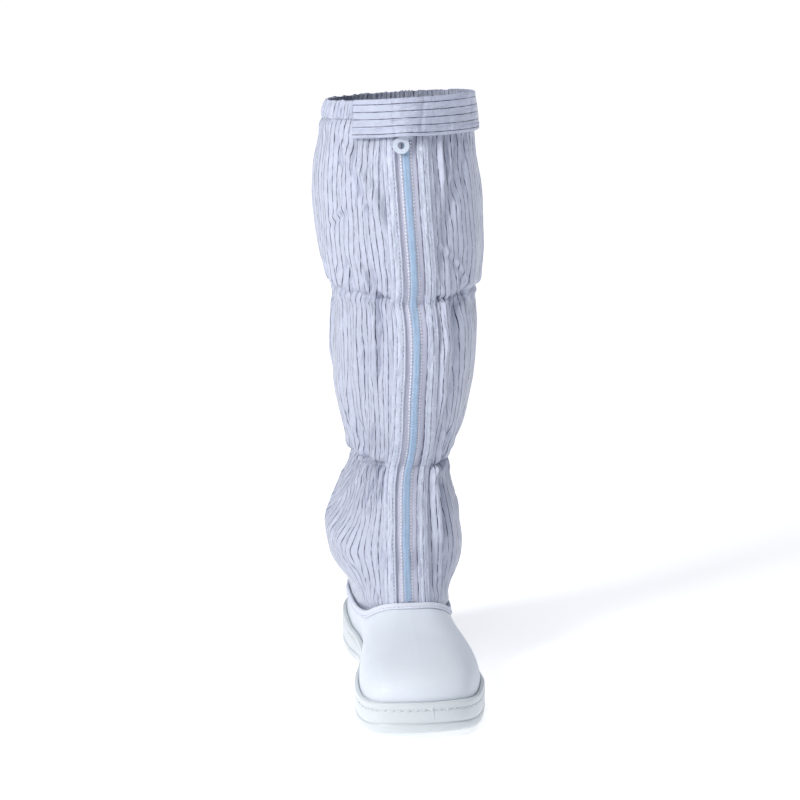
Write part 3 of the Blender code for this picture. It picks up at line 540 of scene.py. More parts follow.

# Creases listed one by one: from one point on the leg to another, each as distance round from the zip
# and height, then half width and rise, all in millimetres. A trough has a negative rise.
CREASES = (
    (-37, 378, -26, 360, 4.6, 2.3), (-26, 360, -18, 340, 4.4, 2.1), (-37, 391, -37, 377, 2.0, -1.4),
    (-37, 377, -33, 359, 2.2, -1.8), (-33, 359, -29, 348, 2.0, -1.2),
    (-55, 407, -46, 393, 2.4, 1.3), (-46, 393, -39, 387, 2.2, 1.1), (-51, 402, -48, 380, 2.2, -1.1),
    (-58, 342, -52, 347, 2.0, 0.9), (-62, 336, -50, 342, 2.4, -0.8), (23, 398, 23, 367, 2.2, -1.2),
    (31, 398, 31, 362, 2.4, -1.3), (40, 398, 39, 360, 2.4, -1.4), (50, 398, 48, 366, 2.6, -1.2),
    (27, 399, 27, 372, 2.0, 0.9), (36, 399, 35, 372, 2.0, 0.9), (38, 366, 31, 346, 4.5, -1.8),
    (31, 346, 23, 320, 4.5, -1.6), (14, 330, 26, 319, 2.4, 1.0), (17, 323, 28, 313, 2.4, -0.8),
    (-52, 290, -60, 304, 2.2, 1.5), (-30, 285, -36, 303, 2.0, 1.7), (-36, 303, -41, 314, 2.2, 1.0),
    (-26, 286, -29, 301, 1.8, -1.5), (-44, 288, -50, 306, 2.0, -1.4), (20, 284, 17, 301, 1.9, 1.6),
    (17, 301, 17, 315, 2.2, 1.0), (29, 281, 33, 298, 2.0, 1.5), (46, 286, 38, 305, 2.2, 1.4),
    (-30, 281, -30, 258, 2.6, 1.9), (-30, 258, -31, 232, 3.2, 1.3), (-24, 282, -25, 258, 2.4, -1.4),
    (-25, 258, -26, 232, 2.6, -1.1), (17, 268, 15, 241, 2.8, -1.3), (14, 241, 14, 205, 2.8, -1.6),
    (22, 277, 20, 248, 4.6, 1.4), (20, 248, 20, 216, 4.8, 1.8), (32, 274, 33, 254, 2.2, -1.6),
    (33, 254, 31, 232, 2.4, -1.7), (31, 232, 26, 204, 2.4, -1.4), (40, 272, 42, 236, 4.0, 1.2),
    (-39, 249, -38, 214, 2.2, -1.1), (-44, 262, -48, 228, 3.5, 1.1), (-41, 167, -52, 196, 2.4, 1.7),
    (-52, 196, -56, 214, 2.8, 1.0), (-47, 168, -60, 192, 2.0, -1.3), (-27, 163, -32, 186, 2.2, 1.5),
    (-33, 164, -41, 186, 1.9, -1.3), (22, 158, 24, 182, 2.0, 1.4), (28, 158, 31, 180, 2.0, -1.4),
    (-20, 154, -23, 144, 1.7, -2.0), (-23, 144, -34, 128, 2.0, -1.9),
    (-17, 153, -19, 143, 1.8, 1.9), (-19, 143, -29, 127, 2.4, 1.7), (-33, 157, -39, 145, 2.0, 1.6),
    (-39, 145, -58, 130, 2.6, 1.3), (-28, 156, -33, 144, 1.6, -1.4), (-49, 142, -68, 112, 3.5, 1.0),
    (-40, 124, -56, 96, 4.0, -0.9), (20, 152, 25, 131, 3.2, 2.0), (25, 131, 27, 108, 3.6, 1.8),
    (27, 108, 27, 80, 3.8, 1.3), (30, 140, 32, 113, 2.4, -1.9), (32, 113, 32, 80, 2.6, -1.6),
    (40, 128, 44, 96, 4.0, 1.2), (-33, 77, -22, 68, 3.0, -1.6), (-38, 86, -26, 74, 3.0, 1.2),
    (110, 398, 104, 362, 5.0, 1.5), (150, 396, 142, 350, 5.0, -1.5),
    (-112, 396, -104, 356, 5.0, 1.5), (-152, 394, -146, 352, 5.0, -1.5),
    (120, 292, 112, 322, 4.0, 1.6), (-124, 292, -116, 326, 4.0, 1.6), (92, 276, 96, 240, 4.0, 1.6),
    (-96, 276, -100, 238, 4.0, 1.6), (140, 274, 134, 232, 4.5, -1.6),
    (-138, 274, -134, 230, 4.5, -1.6), (86, 152, 92, 118, 4.0, 1.7), (-84, 152, -96, 116, 4.0, 1.7),
    (110, 150, 104, 108, 4.0, -1.5),
)


def smooth_step(value, low, high):
    share = np.clip((value - low) / (high - low), 0.0, 1.0)
    return share * share * (3.0 - 2.0 * share)


def bump_at(value, centre, half_width):
    return np.exp(-(((value - centre) / half_width) ** 2))


def noise(x, y, seed):
    """Smooth values from -1 to 1 over a lattice of seeded random numbers."""
    lattice = np.random.default_rng(seed).uniform(-1.0, 1.0, (97, 97))
    x, y = np.broadcast_arrays(np.asarray(x, float), np.asarray(y, float))
    column = np.floor(x).astype(int)
    row = np.floor(y).astype(int)
    across = smooth_step(x - column, 0.0, 1.0)
    along = smooth_step(y - row, 0.0, 1.0)
    corner = lattice[row % 97, column % 97]
    beside = lattice[row % 97, (column + 1) % 97]
    above = lattice[(row + 1) % 97, column % 97]
    far = lattice[(row + 1) % 97, (column + 1) % 97]
    low = corner + (beside - corner) * across
    high = above + (far - above) * across
    return low + (high - low) * along


def layered(layers, cut, height):
    """The sum of several layers of noise over the cloth."""
    return sum(much * noise(cut / across, height / up, seed) for much, across, up, seed in layers)


class Leg:
    """The leg's inner face as a smooth surface, read by place up its front and distance round."""

    def __init__(self):
        self.rows = leg_rows()
        steps = np.linalg.norm(np.diff(self.rows, axis=0), axis=2).mean(axis=1)
        self.at = np.concatenate([[0.0], np.cumsum(steps)])
        self.front_at = np.linspace(self.at[2], self.at[-1], 2000)
        self.front_height = self.rings(self.front_at)[:, RING_POINTS * RING_RESAMPLE // 2, 2]

    def rings(self, at):
        """Closed rings at these places up the leg, each running from the back round to the back."""
        rows = curve(self.at, self.rows, np.gradient(self.rows, self.at, axis=0), at)
        count = RING_POINTS * RING_RESAMPLE
        fine = np.fft.irfft(np.fft.rfft(rows, axis=1), n=count, axis=1) * RING_RESAMPLE
        return np.concatenate([fine, fine[:, :1]], axis=1)

    def at_height(self, height):
        return np.interp(height, self.front_height, self.front_at)

    def lengths(self, at):
        """Rings, with the distance of each of their points round from the front."""
        rings = self.rings(np.asarray(at, float))
        run = np.array([distance_along(ring) for ring in rings])
        front = RING_POINTS * RING_RESAMPLE // 2
        return rings, run - run[:, front : front + 1]

    def around_back(self, at, start, shares):
        """Distances round from one side of the zip, over the back, to the other side."""
        _, run = self.lengths(at)
        inner = -run[:, :1] - start
        outer = run[:, -1:] - start
        walked = shares * (inner + outer)
        return np.where(walked <= inner, -start - walked, inner + outer + start - walked)

    def grid(self, at, around):
        """Points and outward normals for rows of distances round."""
        rings, run = self.lengths(at)
        around = np.broadcast_to(around, (len(rings), np.shape(around)[-1]))
        step = 0.0015
        rows = list(zip(around, run, rings))
        points, near, far = (
            np.array([read_along(place + off, length, ring) for place, length, ring in rows])
            for off in (0.0, -step, step)
        )
        return points, unit(np.cross(far - near, np.gradient(points, axis=0)))


def mesh_piece(name, points, faces, finish, uv=None):
    """A smooth shaded piece that rides on the boot. uv is given for each point."""
    mesh = bpy.data.meshes.new(name)
    mesh.from_pydata(np.asarray(points, float).tolist(), [], [tuple(face) for face in faces])
    if uv is not None:
        layer = mesh.uv_layers.new(name="cloth")
        corner = np.empty(len(mesh.loops), np.int32)
        mesh.loops.foreach_get("vertex_index", corner)
        layer.data.foreach_set("uv", np.asarray(uv, np.float32)[corner].ravel())
    mesh.shade_smooth()
    mesh.materials.append(finish)
    made = bpy.data.objects.new(name, mesh)
    bpy.context.scene.collection.objects.link(made)
    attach(made, "root")
    return made


def tidy_mesh(piece, sharp=None, join=True):
    """Joins points that meet, turns every face outward and marks the sharp edges."""
    work = bmesh.new()
    work.from_mesh(piece.data)
    if join:
        bmesh.ops.remove_doubles(work, verts=work.verts, dist=2e-6)
    bmesh.ops.recalc_face_normals(work, faces=work.faces)
    work.to_mesh(piece.data)
    work.free()
    if sharp is not None:
        piece.data.set_sharp_from_angle(angle=math.radians(sharp))


def quads(index, right):
    """The faces between each row of point numbers and the next; right is each point's neighbour."""
    return np.stack([index[:-1], right[:-1], right[1:], index[1:]], -1).reshape(-1, 4)


def ring_of(count):
    return np.arange(count) * math.tau / count


def shell(name, outer, inner, finish, uv=None, closed=False, replaced=None):
    """A closed thin body between two equal grids of points."""
    rows, columns = outer.shape[:2]
    index = np.arange(rows * columns).reshape(rows, columns)
    right = np.roll(index, -1, axis=1) if closed else index[:, 1:]
    left = index if closed else index[:, :-1]
    face = quads(left, right)
    under = rows * columns
    faces = [face, face[:, ::-1] + under]
    rims = [(left[0], right[0], True), (left[-1], right[-1], False)]
    if not closed:
        rims += [(index[:-1, 0], index[1:, 0], False), (index[:-1, -1], index[1:, -1], True)]
    for first, second, turned in rims:
        rim = np.stack([first, second, second + under, first + under], -1)
        faces.append(rim[:, ::-1] if turned else rim)
    points = np.concatenate([outer.reshape(-1, 3), inner.reshape(-1, 3)])
    if uv is not None:
        uv = np.concatenate([uv.reshape(-1, 2), uv.reshape(-1, 2)])
    piece = mesh_piece(name, points, np.concatenate(faces).tolist(), finish, uv)
    tidy_mesh(piece, 70.0, join=False)
    if replaced:
        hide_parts(replaced)
    return piece


def line_height(line, around):
    at, height = np.array(line).T
    return np.interp(around, at, height)


def pleats(cut, height, pitch, seed):
    """Rounded ridges with sharp valleys, that wander a little up the cloth."""
    return 2.2 * np.abs(noise(cut / pitch, height / (pitch * 7.0), seed)) - 0.75


def gathered(cut, height, line, seed):
    """How far an elastic line throws the cloth out or pulls it in, in millimetres."""
    away = np.abs(height - line)
    throw = 0.0
    for order, (much, reach, pitch) in enumerate(GATHER_PLEATS):
        throw = throw + much * np.exp(-away / reach) * pleats(cut, height, pitch, seed + order)
    pulled = -2.2 * bump_at(away, 0.0, 1.8)
    puffed = 1.2 * bump_at(away, 6.0, 5.0)
    bunched = 1.25 * bump_at(away, 0.0, 3.2) * noise(cut / 2.9, height / 4.5, seed + 3)
    slanted = noise((cut + 0.45 * (height - line)) / 6.5, height / 9.0, seed + 4)
    crumpled = 1.28 * np.exp(-away / 13.0) * (0.5 - np.abs(slanted))
    return throw + pulled + puffed + bunched + crumpled * smooth_step(away, 1.0, 4.0)


def creased(around, height):
    """The listed creases, in millimetres, each with its two ends drawn out to nothing."""
    shape = np.broadcast(around, height).shape
    raised = np.zeros(shape)
    sunk = np.zeros(shape)
    for start_round, start_height, end_round, end_height, half_width, climb in CREASES:
        along = np.array([end_round - start_round, end_height - start_height], float)
        length = np.linalg.norm(along)
        along /= length
        walked = (around - start_round) * along[0] + (height - start_height) * along[1]
        beside = (around - start_round) * along[1] - (height - start_height) * along[0]
        past = np.maximum(np.maximum(-walked, walked - length), 0.0)
        wander = 0.35 * half_width * noise(walked / 7.0, climb * 9.0 + half_width, 51)
        off = ((beside + wander) / half_width) ** 2 + (past / (CREASE_TAIL * half_width)) ** 2
        lift = CREASE_GAIN * climb * np.exp(-off)
        raised = np.maximum(raised, lift)
        sunk = np.minimum(sunk, lift)
    return raised + sunk


def cloth_rise(cut, around, height):
    """How far the cloth stands off the leg's outer face, in millimetres."""
    wander = 3.0 * noise(cut / 40.0, height / 24.0, 5)
    rise = layered(CLOTH_WAVES, cut, height) + creased(around, height)
    for line, seed in ((CALF_LINE, 11), (ANKLE_LINE, 21), (CUFF_LINE, 31)):
        rise = rise + gathered(cut + wander, height, line_height(line, around), seed)
    beside_zip = smooth_step(np.abs(around), 13.5, 21.0)
    under_cuff = 1.0 - smooth_step(height, 404.0, CUFF_LINE_HEIGHT)
    above_collar = height - collar_height(around)
    calm = beside_zip * under_cuff * smooth_step(above_collar, -1.0, 9.0)
    over_rim = RIM_BULGE * bump_at(above_collar, 5.5, 4.5) * beside_zip
    return np.where(height > HELD_FROM, np.minimum(rise, HELD_RISE), rise) * calm + over_rim - 0.1


def collar_height(around):
    """Height of the collar's edge, in millimetres, at a distance round from the front."""
    share = np.clip(np.abs(around) / 150.0, 0.0, 1.0)
    return 66.0 - 18.0 * smooth_step(share, 0.0, 0.55) + 8.0 * smooth_step(share, 0.75, 1.0)


def cloth_skew(around, height):
    """How far the ankle's cloth is twisted across its width on the inner side, in millimetres."""
    low = smooth_step(height, 78.0, 100.0)
    inner = smooth_step(-around, 16.0, 66.0) * (1.0 - smooth_step(-around, 95.0, 165.0))
    return SKEW_SLOPE * (height - SKEW_LEVEL) * low * inner


def make_cloth(leg, finish):
    """The striped leg in three lengths that meet in the two elastic lines."""
    joins = (leg.at[2] - LEG_TUCK, leg.at_height(ANKLE_JOIN), leg.at_height(CALF_JOIN), leg.at[-1])
    share = np.linspace(0.0, 1.0, CLOTH_COLUMNS)[None, :]
    cut = share * CLOTH_CUT
    for name, low, high in zip(("leg_ankle", "leg_calf", "leg_top"), joins[:-1], joins[1:]):
        at = np.linspace(low, high, int(math.ceil((high - low) / CLOTH_STEP)) + 1)
        at = np.concatenate([[2.0 * at[0] - at[1]], at, [2.0 * at[-1] - at[-2]]])
        at = np.clip(at, leg.at[0], leg.at[-1])
        around = leg.around_back(at, ZIP_GAP / 2.0, share)
        points, normal = leg.grid(at, around)
        around = around / MM
        height = points[..., 2] / MM
        rise = LEG_WALL + cloth_rise(cut, around, height) * MM
        middle = (points + normal * rise[..., None])[1:-1]
        gathering = sum(
            np.exp(-np.abs(height - line_height(line, around)) / reach)
            for line, reach in ((CALF_LINE, 16.0), (ANKLE_LINE, 16.0), (CUFF_LINE, 18.0))
        )
        shift = layered(STRIPE_WANDER, cut, height)
        across = cut + shift * (WANDER_AWAY + WANDER_AT_LINE * gathering)
        if name == "leg_ankle":
            across = across + cloth_skew(around, height)
        uv = np.stack([across, height], -1)[1:-1] / 10.0
        back = middle - normal[1:-1] * CLOTH_THICKNESS
        shell(name, middle, back, finish, uv, replaced="shaft")


def strip_rows(leg, low_height, high_at):
    low = leg.at_height(low_height)
    count = int(math.ceil((high_at - low) / STRIP_STEP))
    return np.linspace(low, high_at, count + 1)


def strip(name, points, normal, around, outer, inner, finish, replaced):
    """A strip up the leg between two heights off it. around is a row of distances."""
    length = distance_along(points[:, points.shape[1] // 2])
    uv = np.stack(np.broadcast_arrays(around[None, :], length[:, None]), -1) * 100.0
    outside = points + normal * outer[..., None]
    inside = points + normal * inner[..., None]
    shell(name, outside, inside, finish, uv, replaced=replaced)


def thread(name, paths, finish):
    """Rows of short stitches along paths of points with normals, each a tapered bead of thread."""
    radius, length, gap = STITCHES[name]
    along = np.array([0.0, 0.12, 0.5, 0.88, 1.0]) * length
    rise = np.array([-0.9, 0.1, 0.45, 0.1, -0.9]) * radius
    thick = np.array([0.35, 0.9, 1.0, 0.9, 0.35]) * radius
    corners = 6
    ring = ring_of(corners)
    sideways = (np.cos(ring) * 1.25)[None, :, None]
    outward = (np.sin(ring) * 0.8)[None, :, None]
    count = corners * len(along)
    points = []
    faces = []
    for path, normals in paths:
        run = distance_along(path)
        start = gap
        while start + length < run[-1]:
            middle = read_along(start + along, run, path)
            out = unit(read_along(start + along, run, normals))
            side = np.cross(unit(middle[-1] - middle[0]), out)
            bead = side[:, None] * sideways + out[:, None] * outward
            index = len(points) * count + np.arange(count).reshape(-1, corners)
            points.append((middle + out * rise[:, None])[:, None] + bead * thick[:, None, None])
            faces += quads(index, np.roll(index, -1, axis=1)).tolist()
            faces += [index[0, ::-1].tolist(), index[-1].tolist()]
            start += length + gap
    tidy_mesh(mesh_piece(name, np.array(points).reshape(-1, 3), faces, finish))


def placket_rise(height, off_edge, seed):
    """A facing's crown between its two rows of stitches, with the puckers they draw."""
    middle = sum(FACING_ROWS) / 2.0 / MM
    crown = 0.45 * bump_at(off_edge, middle, 2.2)
    rows = -0.35 * sum(bump_at(off_edge, row / MM, 0.45) for row in FACING_ROWS)
    slanted = noise((height + 0.5 * off_edge) / 2.1, off_edge / 3.0, seed)
    pucker = 0.60 * slanted * bump_at(off_edge, middle, 3.4)
    waves = 0.35 * noise(height / 9.0, off_edge / 12.0, seed + 1)
    drawn = sum(np.exp(-np.abs(height - line) / reach) for line, reach in FACING_DRAWN)
    return crown + rows + pucker * (0.6 + drawn) + waves * (0.45 + drawn) + 0.35


def rounded_off(off_edge, radius):
    """How far a rounded edge has risen at a distance from the edge, from 0 to 1."""
    return np.sqrt(np.clip(1.0 - (1.0 - np.clip(off_edge / radius, 0.0, 1.0)) ** 2, 0.0, 1.0))


def make_plackets(leg, finish, stitch_finish, foot):
    """The two double stitched facings beside the zip."""
    at = strip_rows(leg, foot, leg.at[-1] - 0.0002)
    off_edge = np.linspace(0.0, PLACKET_WIDTH, 22)
    rounded = rounded_off(np.minimum(off_edge, off_edge[::-1]), FACING_EDGE_ROUND)[None, :]
    paths = []
    for side, node, seed in ((-1.0, "placket_inner", 71), (1.0, "placket_outer", 81)):
        around = side * (ZIP_GAP / 2.0 + off_edge)
        points, normal = leg.grid(at, around)
        height = points[..., 2] / MM
        rise = placket_rise(height, off_edge[None, :] / MM, seed) * MM
        rise = np.clip(rise, 0.0, None) * (1.0 - smooth_step(height, 396.0, 404.0))
        inner = np.full_like(rise, LEG_WALL + GAP)
        outer = inner + rise * (0.3 + 0.7 * rounded) + PLACKET_THICKNESS * (0.35 + 0.65 * rounded)
        strip(node + "_cloth", points, normal, around, outer, inner, finish, node)
        for off in FACING_ROWS:
            column = int(np.argmin(np.abs(off_edge - off)))
            lift = (outer[:, column] + 0.00006)[:, None]
            paths.append((points[:, column] + normal[:, column] * lift, normal[:, column]))
    thread("placket_stitches", paths, stitch_finish)


def make_tapes(leg, finish, stitch_finish):
    """The two woven tapes behind the opening, each with a row of stitches beside the coil."""
    at = strip_rows(leg, 0.0625, leg.at[-1] - 0.0003)
    paths = []
    for side, node in ((-1.0, "zip_tape_inner"), (1.0, "zip_tape_outer")):
        off = np.linspace(GAP / 2.0, TAPE_WIDTH, 16)
        points, normal = leg.grid(at, side * off)
        wave = 0.10 * noise(points[..., 2] / MM / 8.0, off[None, :] / 0.006, 91) * MM
        outer = -GAP + np.clip(wave, -0.0002, 0.0001)
        back = outer - TAPE_THICKNESS
        strip(node + "_weave", points, normal, side * off, outer, back, finish, node)
        column = int(np.argmin(np.abs(off - TAPE_STITCHES_AT)))
        paths.append((points[:, column] + normal[:, column] * 0.00010, normal[:, column]))
    thread("tape_stitches", paths, stitch_finish)


def make_coil(leg, finish, foot):
    """Two rows of nylon coil whose turns interlock along the middle."""
    at = strip_rows(leg, foot, leg.at[-1] - 0.0042)
    points, normal = leg.grid(at, np.array([-0.001, 0.0, 0.001]))
    path = points[:, 1]
    across = unit(points[:, 2] - points[:, 0])
    run = distance_along(path)
    turns = int(run[-1] / COIL_PITCH) - 1
    half = COIL_WIDTH / 2.0 - COIL_WIRE
    phase = np.arange(turns * COIL_TURN_POINTS + 1) / COIL_TURN_POINTS
    angle = phase * math.tau
    reach = 0.5 * (half - COIL_INTERLOCK) * (1.0 + np.cos(angle))
    lift = COIL_THICKNESS / 2.0 + (COIL_THICKNESS / 2.0 - COIL_WIRE) * np.sin(angle)
    ring = ring_of(5)[None, :, None]
    tubes = []
    faces = []
    for side, start in ((-1.0, 0.0), (1.0, 0.5)):
        place = 0.0005 + COIL_PITCH * (phase + start)
        base, up, beside = (read_along(place, run, values) for values in (path, normal[:, 1], across))
        centre = base + beside * (side * reach)[:, None] + up * lift[:, None]
        ahead = unit(np.gradient(centre, axis=0))
        first = unit(np.cross(ahead, unit(np.gradient(base, axis=0))))
        second = np.cross(ahead, first)
        index = len(tubes) * len(centre) * 5 + np.arange(len(centre) * 5).reshape(-1, 5)
        round_wire = first[:, None] * np.cos(ring) + second[:, None] * np.sin(ring)
        tubes.append(centre[:, None] + COIL_WIRE * round_wire)
        faces += quads(index, np.roll(index, -1, axis=1)).tolist()
        faces += [index[0, ::-1].tolist(), index[-1].tolist()]
    points = np.concatenate(tubes).reshape(-1, 3)
    piece = mesh_piece("zip_coil_rows", points, faces, finish)
    tidy_mesh(piece)
    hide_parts("zip_coil")


def make_cuff(leg, finish, stitch_finish):
    """The elastic's casing, drawn up in small pleats with a scalloped top edge."""
    low = leg.at_height(leg.front_height[-1] - CUFF_HEIGHT)
    at = np.linspace(low, leg.at[-1], 20)
    shares = np.linspace(0.0, 1.0, CUFF_COLUMNS)[None, :]
    around = leg.around_back(at, ZIP_GAP / 2.0 + PLACKET_WIDTH + GAP, shares)
    points, normal = leg.grid(at, around)
    share = np.linspace(0.0, 1.0, len(at))[:, None]
    cut = shares * CLOTH_CUT
    fold = pleats(cut, share * 5.0, 4.2, 101) + 0.5 * pleats(cut, share * 3.0, 9.0, 102)
    rounded = np.sqrt(np.clip(1.0 - (2.0 * share - 1.0) ** 4, 0.0, 1.0))
    seam = -0.5 * bump_at(share, 0.16, 0.07) - 0.35 * bump_at(share, 0.86, 0.06)
    ends = smooth_step(cut, 0.0, 3.0) * (1.0 - smooth_step(cut, CLOTH_CUT - 3.0, CLOTH_CUT))
    under_strap = (around > -STRAP_INNER_REACH + MM) & (around < STRAP_OUTER_REACH - MM)
    free = np.where(under_strap, 0.0, 1.0)
    thick = (1.05 + seam + (0.75 + 0.9 * free) * np.clip(fold, -0.6, 0.95) * ends) * rounded * MM
    thick = np.clip(thick, 0.00015, 0.0020 + 0.0010 * free)
    scallop = 0.55 * np.clip(fold, -1.0, 1.2) * smooth_step(share, 0.6, 1.0) * MM
    uv = np.stack([np.broadcast_to(cut, thick.shape), points[..., 2] / MM], -1) / 10.0
    points[..., 2] += scallop
    inside = points + normal * (LEG_WALL + GAP)
    outside = points + normal * (LEG_WALL + GAP + thick)[..., None]
    shell("cuff_casing", outside, inside, finish, uv, replaced="cuff_band")
    path = outside[CUFF_STITCH_ROW] + normal[CUFF_STITCH_ROW] * 0.00005
    thread("cuff_stitches", [(path, normal[CUFF_STITCH_ROW])], stitch_finish)


def slider_top():
    return COIL_THICKNESS + GAP + SLIDER_PLATE + BRIDGE_OPENING + BRIDGE_BAR


def make_strap(leg, finish, stitch_finish):
    """The closed strap, flat at its free end and drawn over the slider in front."""
    low = leg.at_height(leg.front_height[-1] - STRAP_HEIGHT)
    at = np.linspace(low, leg.at[-1], 42)
    around = np.linspace(-STRAP_INNER_REACH, STRAP_OUTER_REACH, 260)
    points, normal = leg.grid(at, around)
    share = np.linspace(1.0, 0.0, len(at))[:, None]
    seat = LEG_WALL + GAP + CUFF_THICKNESS + 2.0 * GAP
    over = slider_top() + GAP + STRAP_FLARE * share
    place = around[None, :]
    out = seat + (over - seat) * np.exp(-((place / STRAP_BRIDGE_WIDTH) ** 2))
    place = place / MM
    fold = 0.0
    for depth, middle, lean, half_width in STRAP_FOLDS:
        fold = fold - depth * bump_at(place, middle + lean * share, half_width)
    waves = 0.35 * noise(place / 13.0, share * 1.6, 111) + 0.16 * noise(place / 4.0, share * 5.0, 112)
    hem = 0.30 * smooth_step(share, 0.80, 0.84) - 0.25 * bump_at(share, 0.80, 0.02)
    off_edge = np.minimum(share, 1.0 - share) * STRAP_HEIGHT
    off_end = np.minimum(around + STRAP_INNER_REACH, STRAP_OUTER_REACH - around)[None, :]
    rounded = rounded_off(off_edge, 0.0008) * rounded_off(off_end, 0.0010)
    relief = (fold + waves + hem) * MM
    thick = STRAP_THICKNESS * (0.30 + 0.70 * rounded) + relief * (0.2 + 0.8 * rounded)
    thick = np.clip(thick, 0.0004, 0.0026)
    uv = 100.0 * np.stack(np.broadcast_arrays(share * STRAP_HEIGHT + 0.0014, around[None, :]), -1)
    inside = points + normal * out[..., None]
    outside = points + normal * (out + thick)[..., None]
    shell("strap_cloth", outside, inside, finish, uv, replaced="cuff_strap")
    paths = [(outside[row] + normal[row] * 0.00004, normal[row]) for row in STRAP_STITCH_ROWS]
    thread("strap_stitches", [(path[4:-4], out[4:-4]) for path, out in paths], stitch_finish)


def make_binding(finish, stitch_finish):
    """The folded woven tape over the collar's edge, with its row of stitches."""
    turns = ring_of(360)
    step = 0.04
    edge = upper_point(turns, 1.0)
    reach = np.linalg.norm(edge - upper_point(turns, 1.0 - step), axis=1) / step
    rise = np.array([0.0, 0.0, 1.0])
    near = GAP
    far = GAP + BINDING_THICKNESS
    pucker = (0.00010 * noise(turns * 45.0, 0.0, 121))[:, None]
    inside = upper_point(turns, 1.0, -UPPER_WALL * 0.4)
    climbs = [1.0 - share * BINDING_DROP / reach for share, _ in BINDING_SECTION]
    normal = unit(upper_point(turns, climbs[3], 0.001) - upper_point(turns, climbs[3], 0.0))
    sections = [upper_point(turns, climbs[0], near)]
    for climb, (_, out) in zip(climbs, BINDING_SECTION):
        sections.append(upper_point(turns, climb, near + BINDING_THICKNESS * out) + normal * pucker)
    sections += [
        upper_point(turns, 1.0, far) + rise * GAP,
        upper_point(turns, 1.0, far * 0.72) + rise * (GAP + BINDING_THICKNESS * 0.7),
        upper_point(turns, 1.0, far * 0.2) + rise * (GAP + BINDING_THICKNESS),
        inside + rise * (GAP + BINDING_THICKNESS * 0.8),
        inside + rise * GAP,
        upper_point(turns, 1.0, near) + rise * GAP,
        upper_point(turns, climbs[4], near),
    ]
    index = np.arange(len(turns) * len(sections)).reshape(len(turns), -1)
    index = np.concatenate([index, index[:1]])
    faces = quads(index, np.roll(index, -1, axis=1)).tolist()
    points = np.stack(sections, axis=1).reshape(-1, 3)
    piece = mesh_piece("binding_tape", points, faces, finish)
    tidy_mesh(piece)
    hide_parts("topline_binding")
    dense = np.linspace(0.0, FULL_TURN, 1800)
    reach = np.interp(dense, np.append(turns, FULL_TURN), np.append(reach, reach[0]))
    climb = 1.0 - 0.66 * BINDING_DROP / reach
    path = upper_point(dense, climb, near + BINDING_THICKNESS * 0.93)
    out = path - upper_point(dense, climb)
    thread("binding_stitches", [(path, out)], stitch_finish)


def make_upper(finish):
    """The upper's skin, from inside the sole's lip to under the binding."""
    turns = ring_of(UPPER_TURNS)
    climbs = np.linspace(0.0, 1.0, UPPER_CLIMBS)
    inset = LIP_THICKNESS + GAP
    low = lip_height(turns) - 0.004
    soft = 0.12 * MM * (noise(turns[None, :] * 5.0, climbs[:, None] * 4.0, 131) - 1.0)
    soft = soft * (smooth_step(climbs, 0.05, 0.3) * (1.0 - smooth_step(climbs, 0.7, 0.9)))[:, None]
    outer = [upright(*outline(turns, inset), low)]
    inner = [upright(*outline(turns, inset + UPPER_WALL), low)]
    for climb, row in zip(climbs, soft):
        outer.append(upper_point(turns, climb, row[:, None]))
        inner.append(upper_point(turns, climb, -UPPER_WALL))
    shell("upper_skin", np.array(outer), np.array(inner), finish, None, True, "upper")


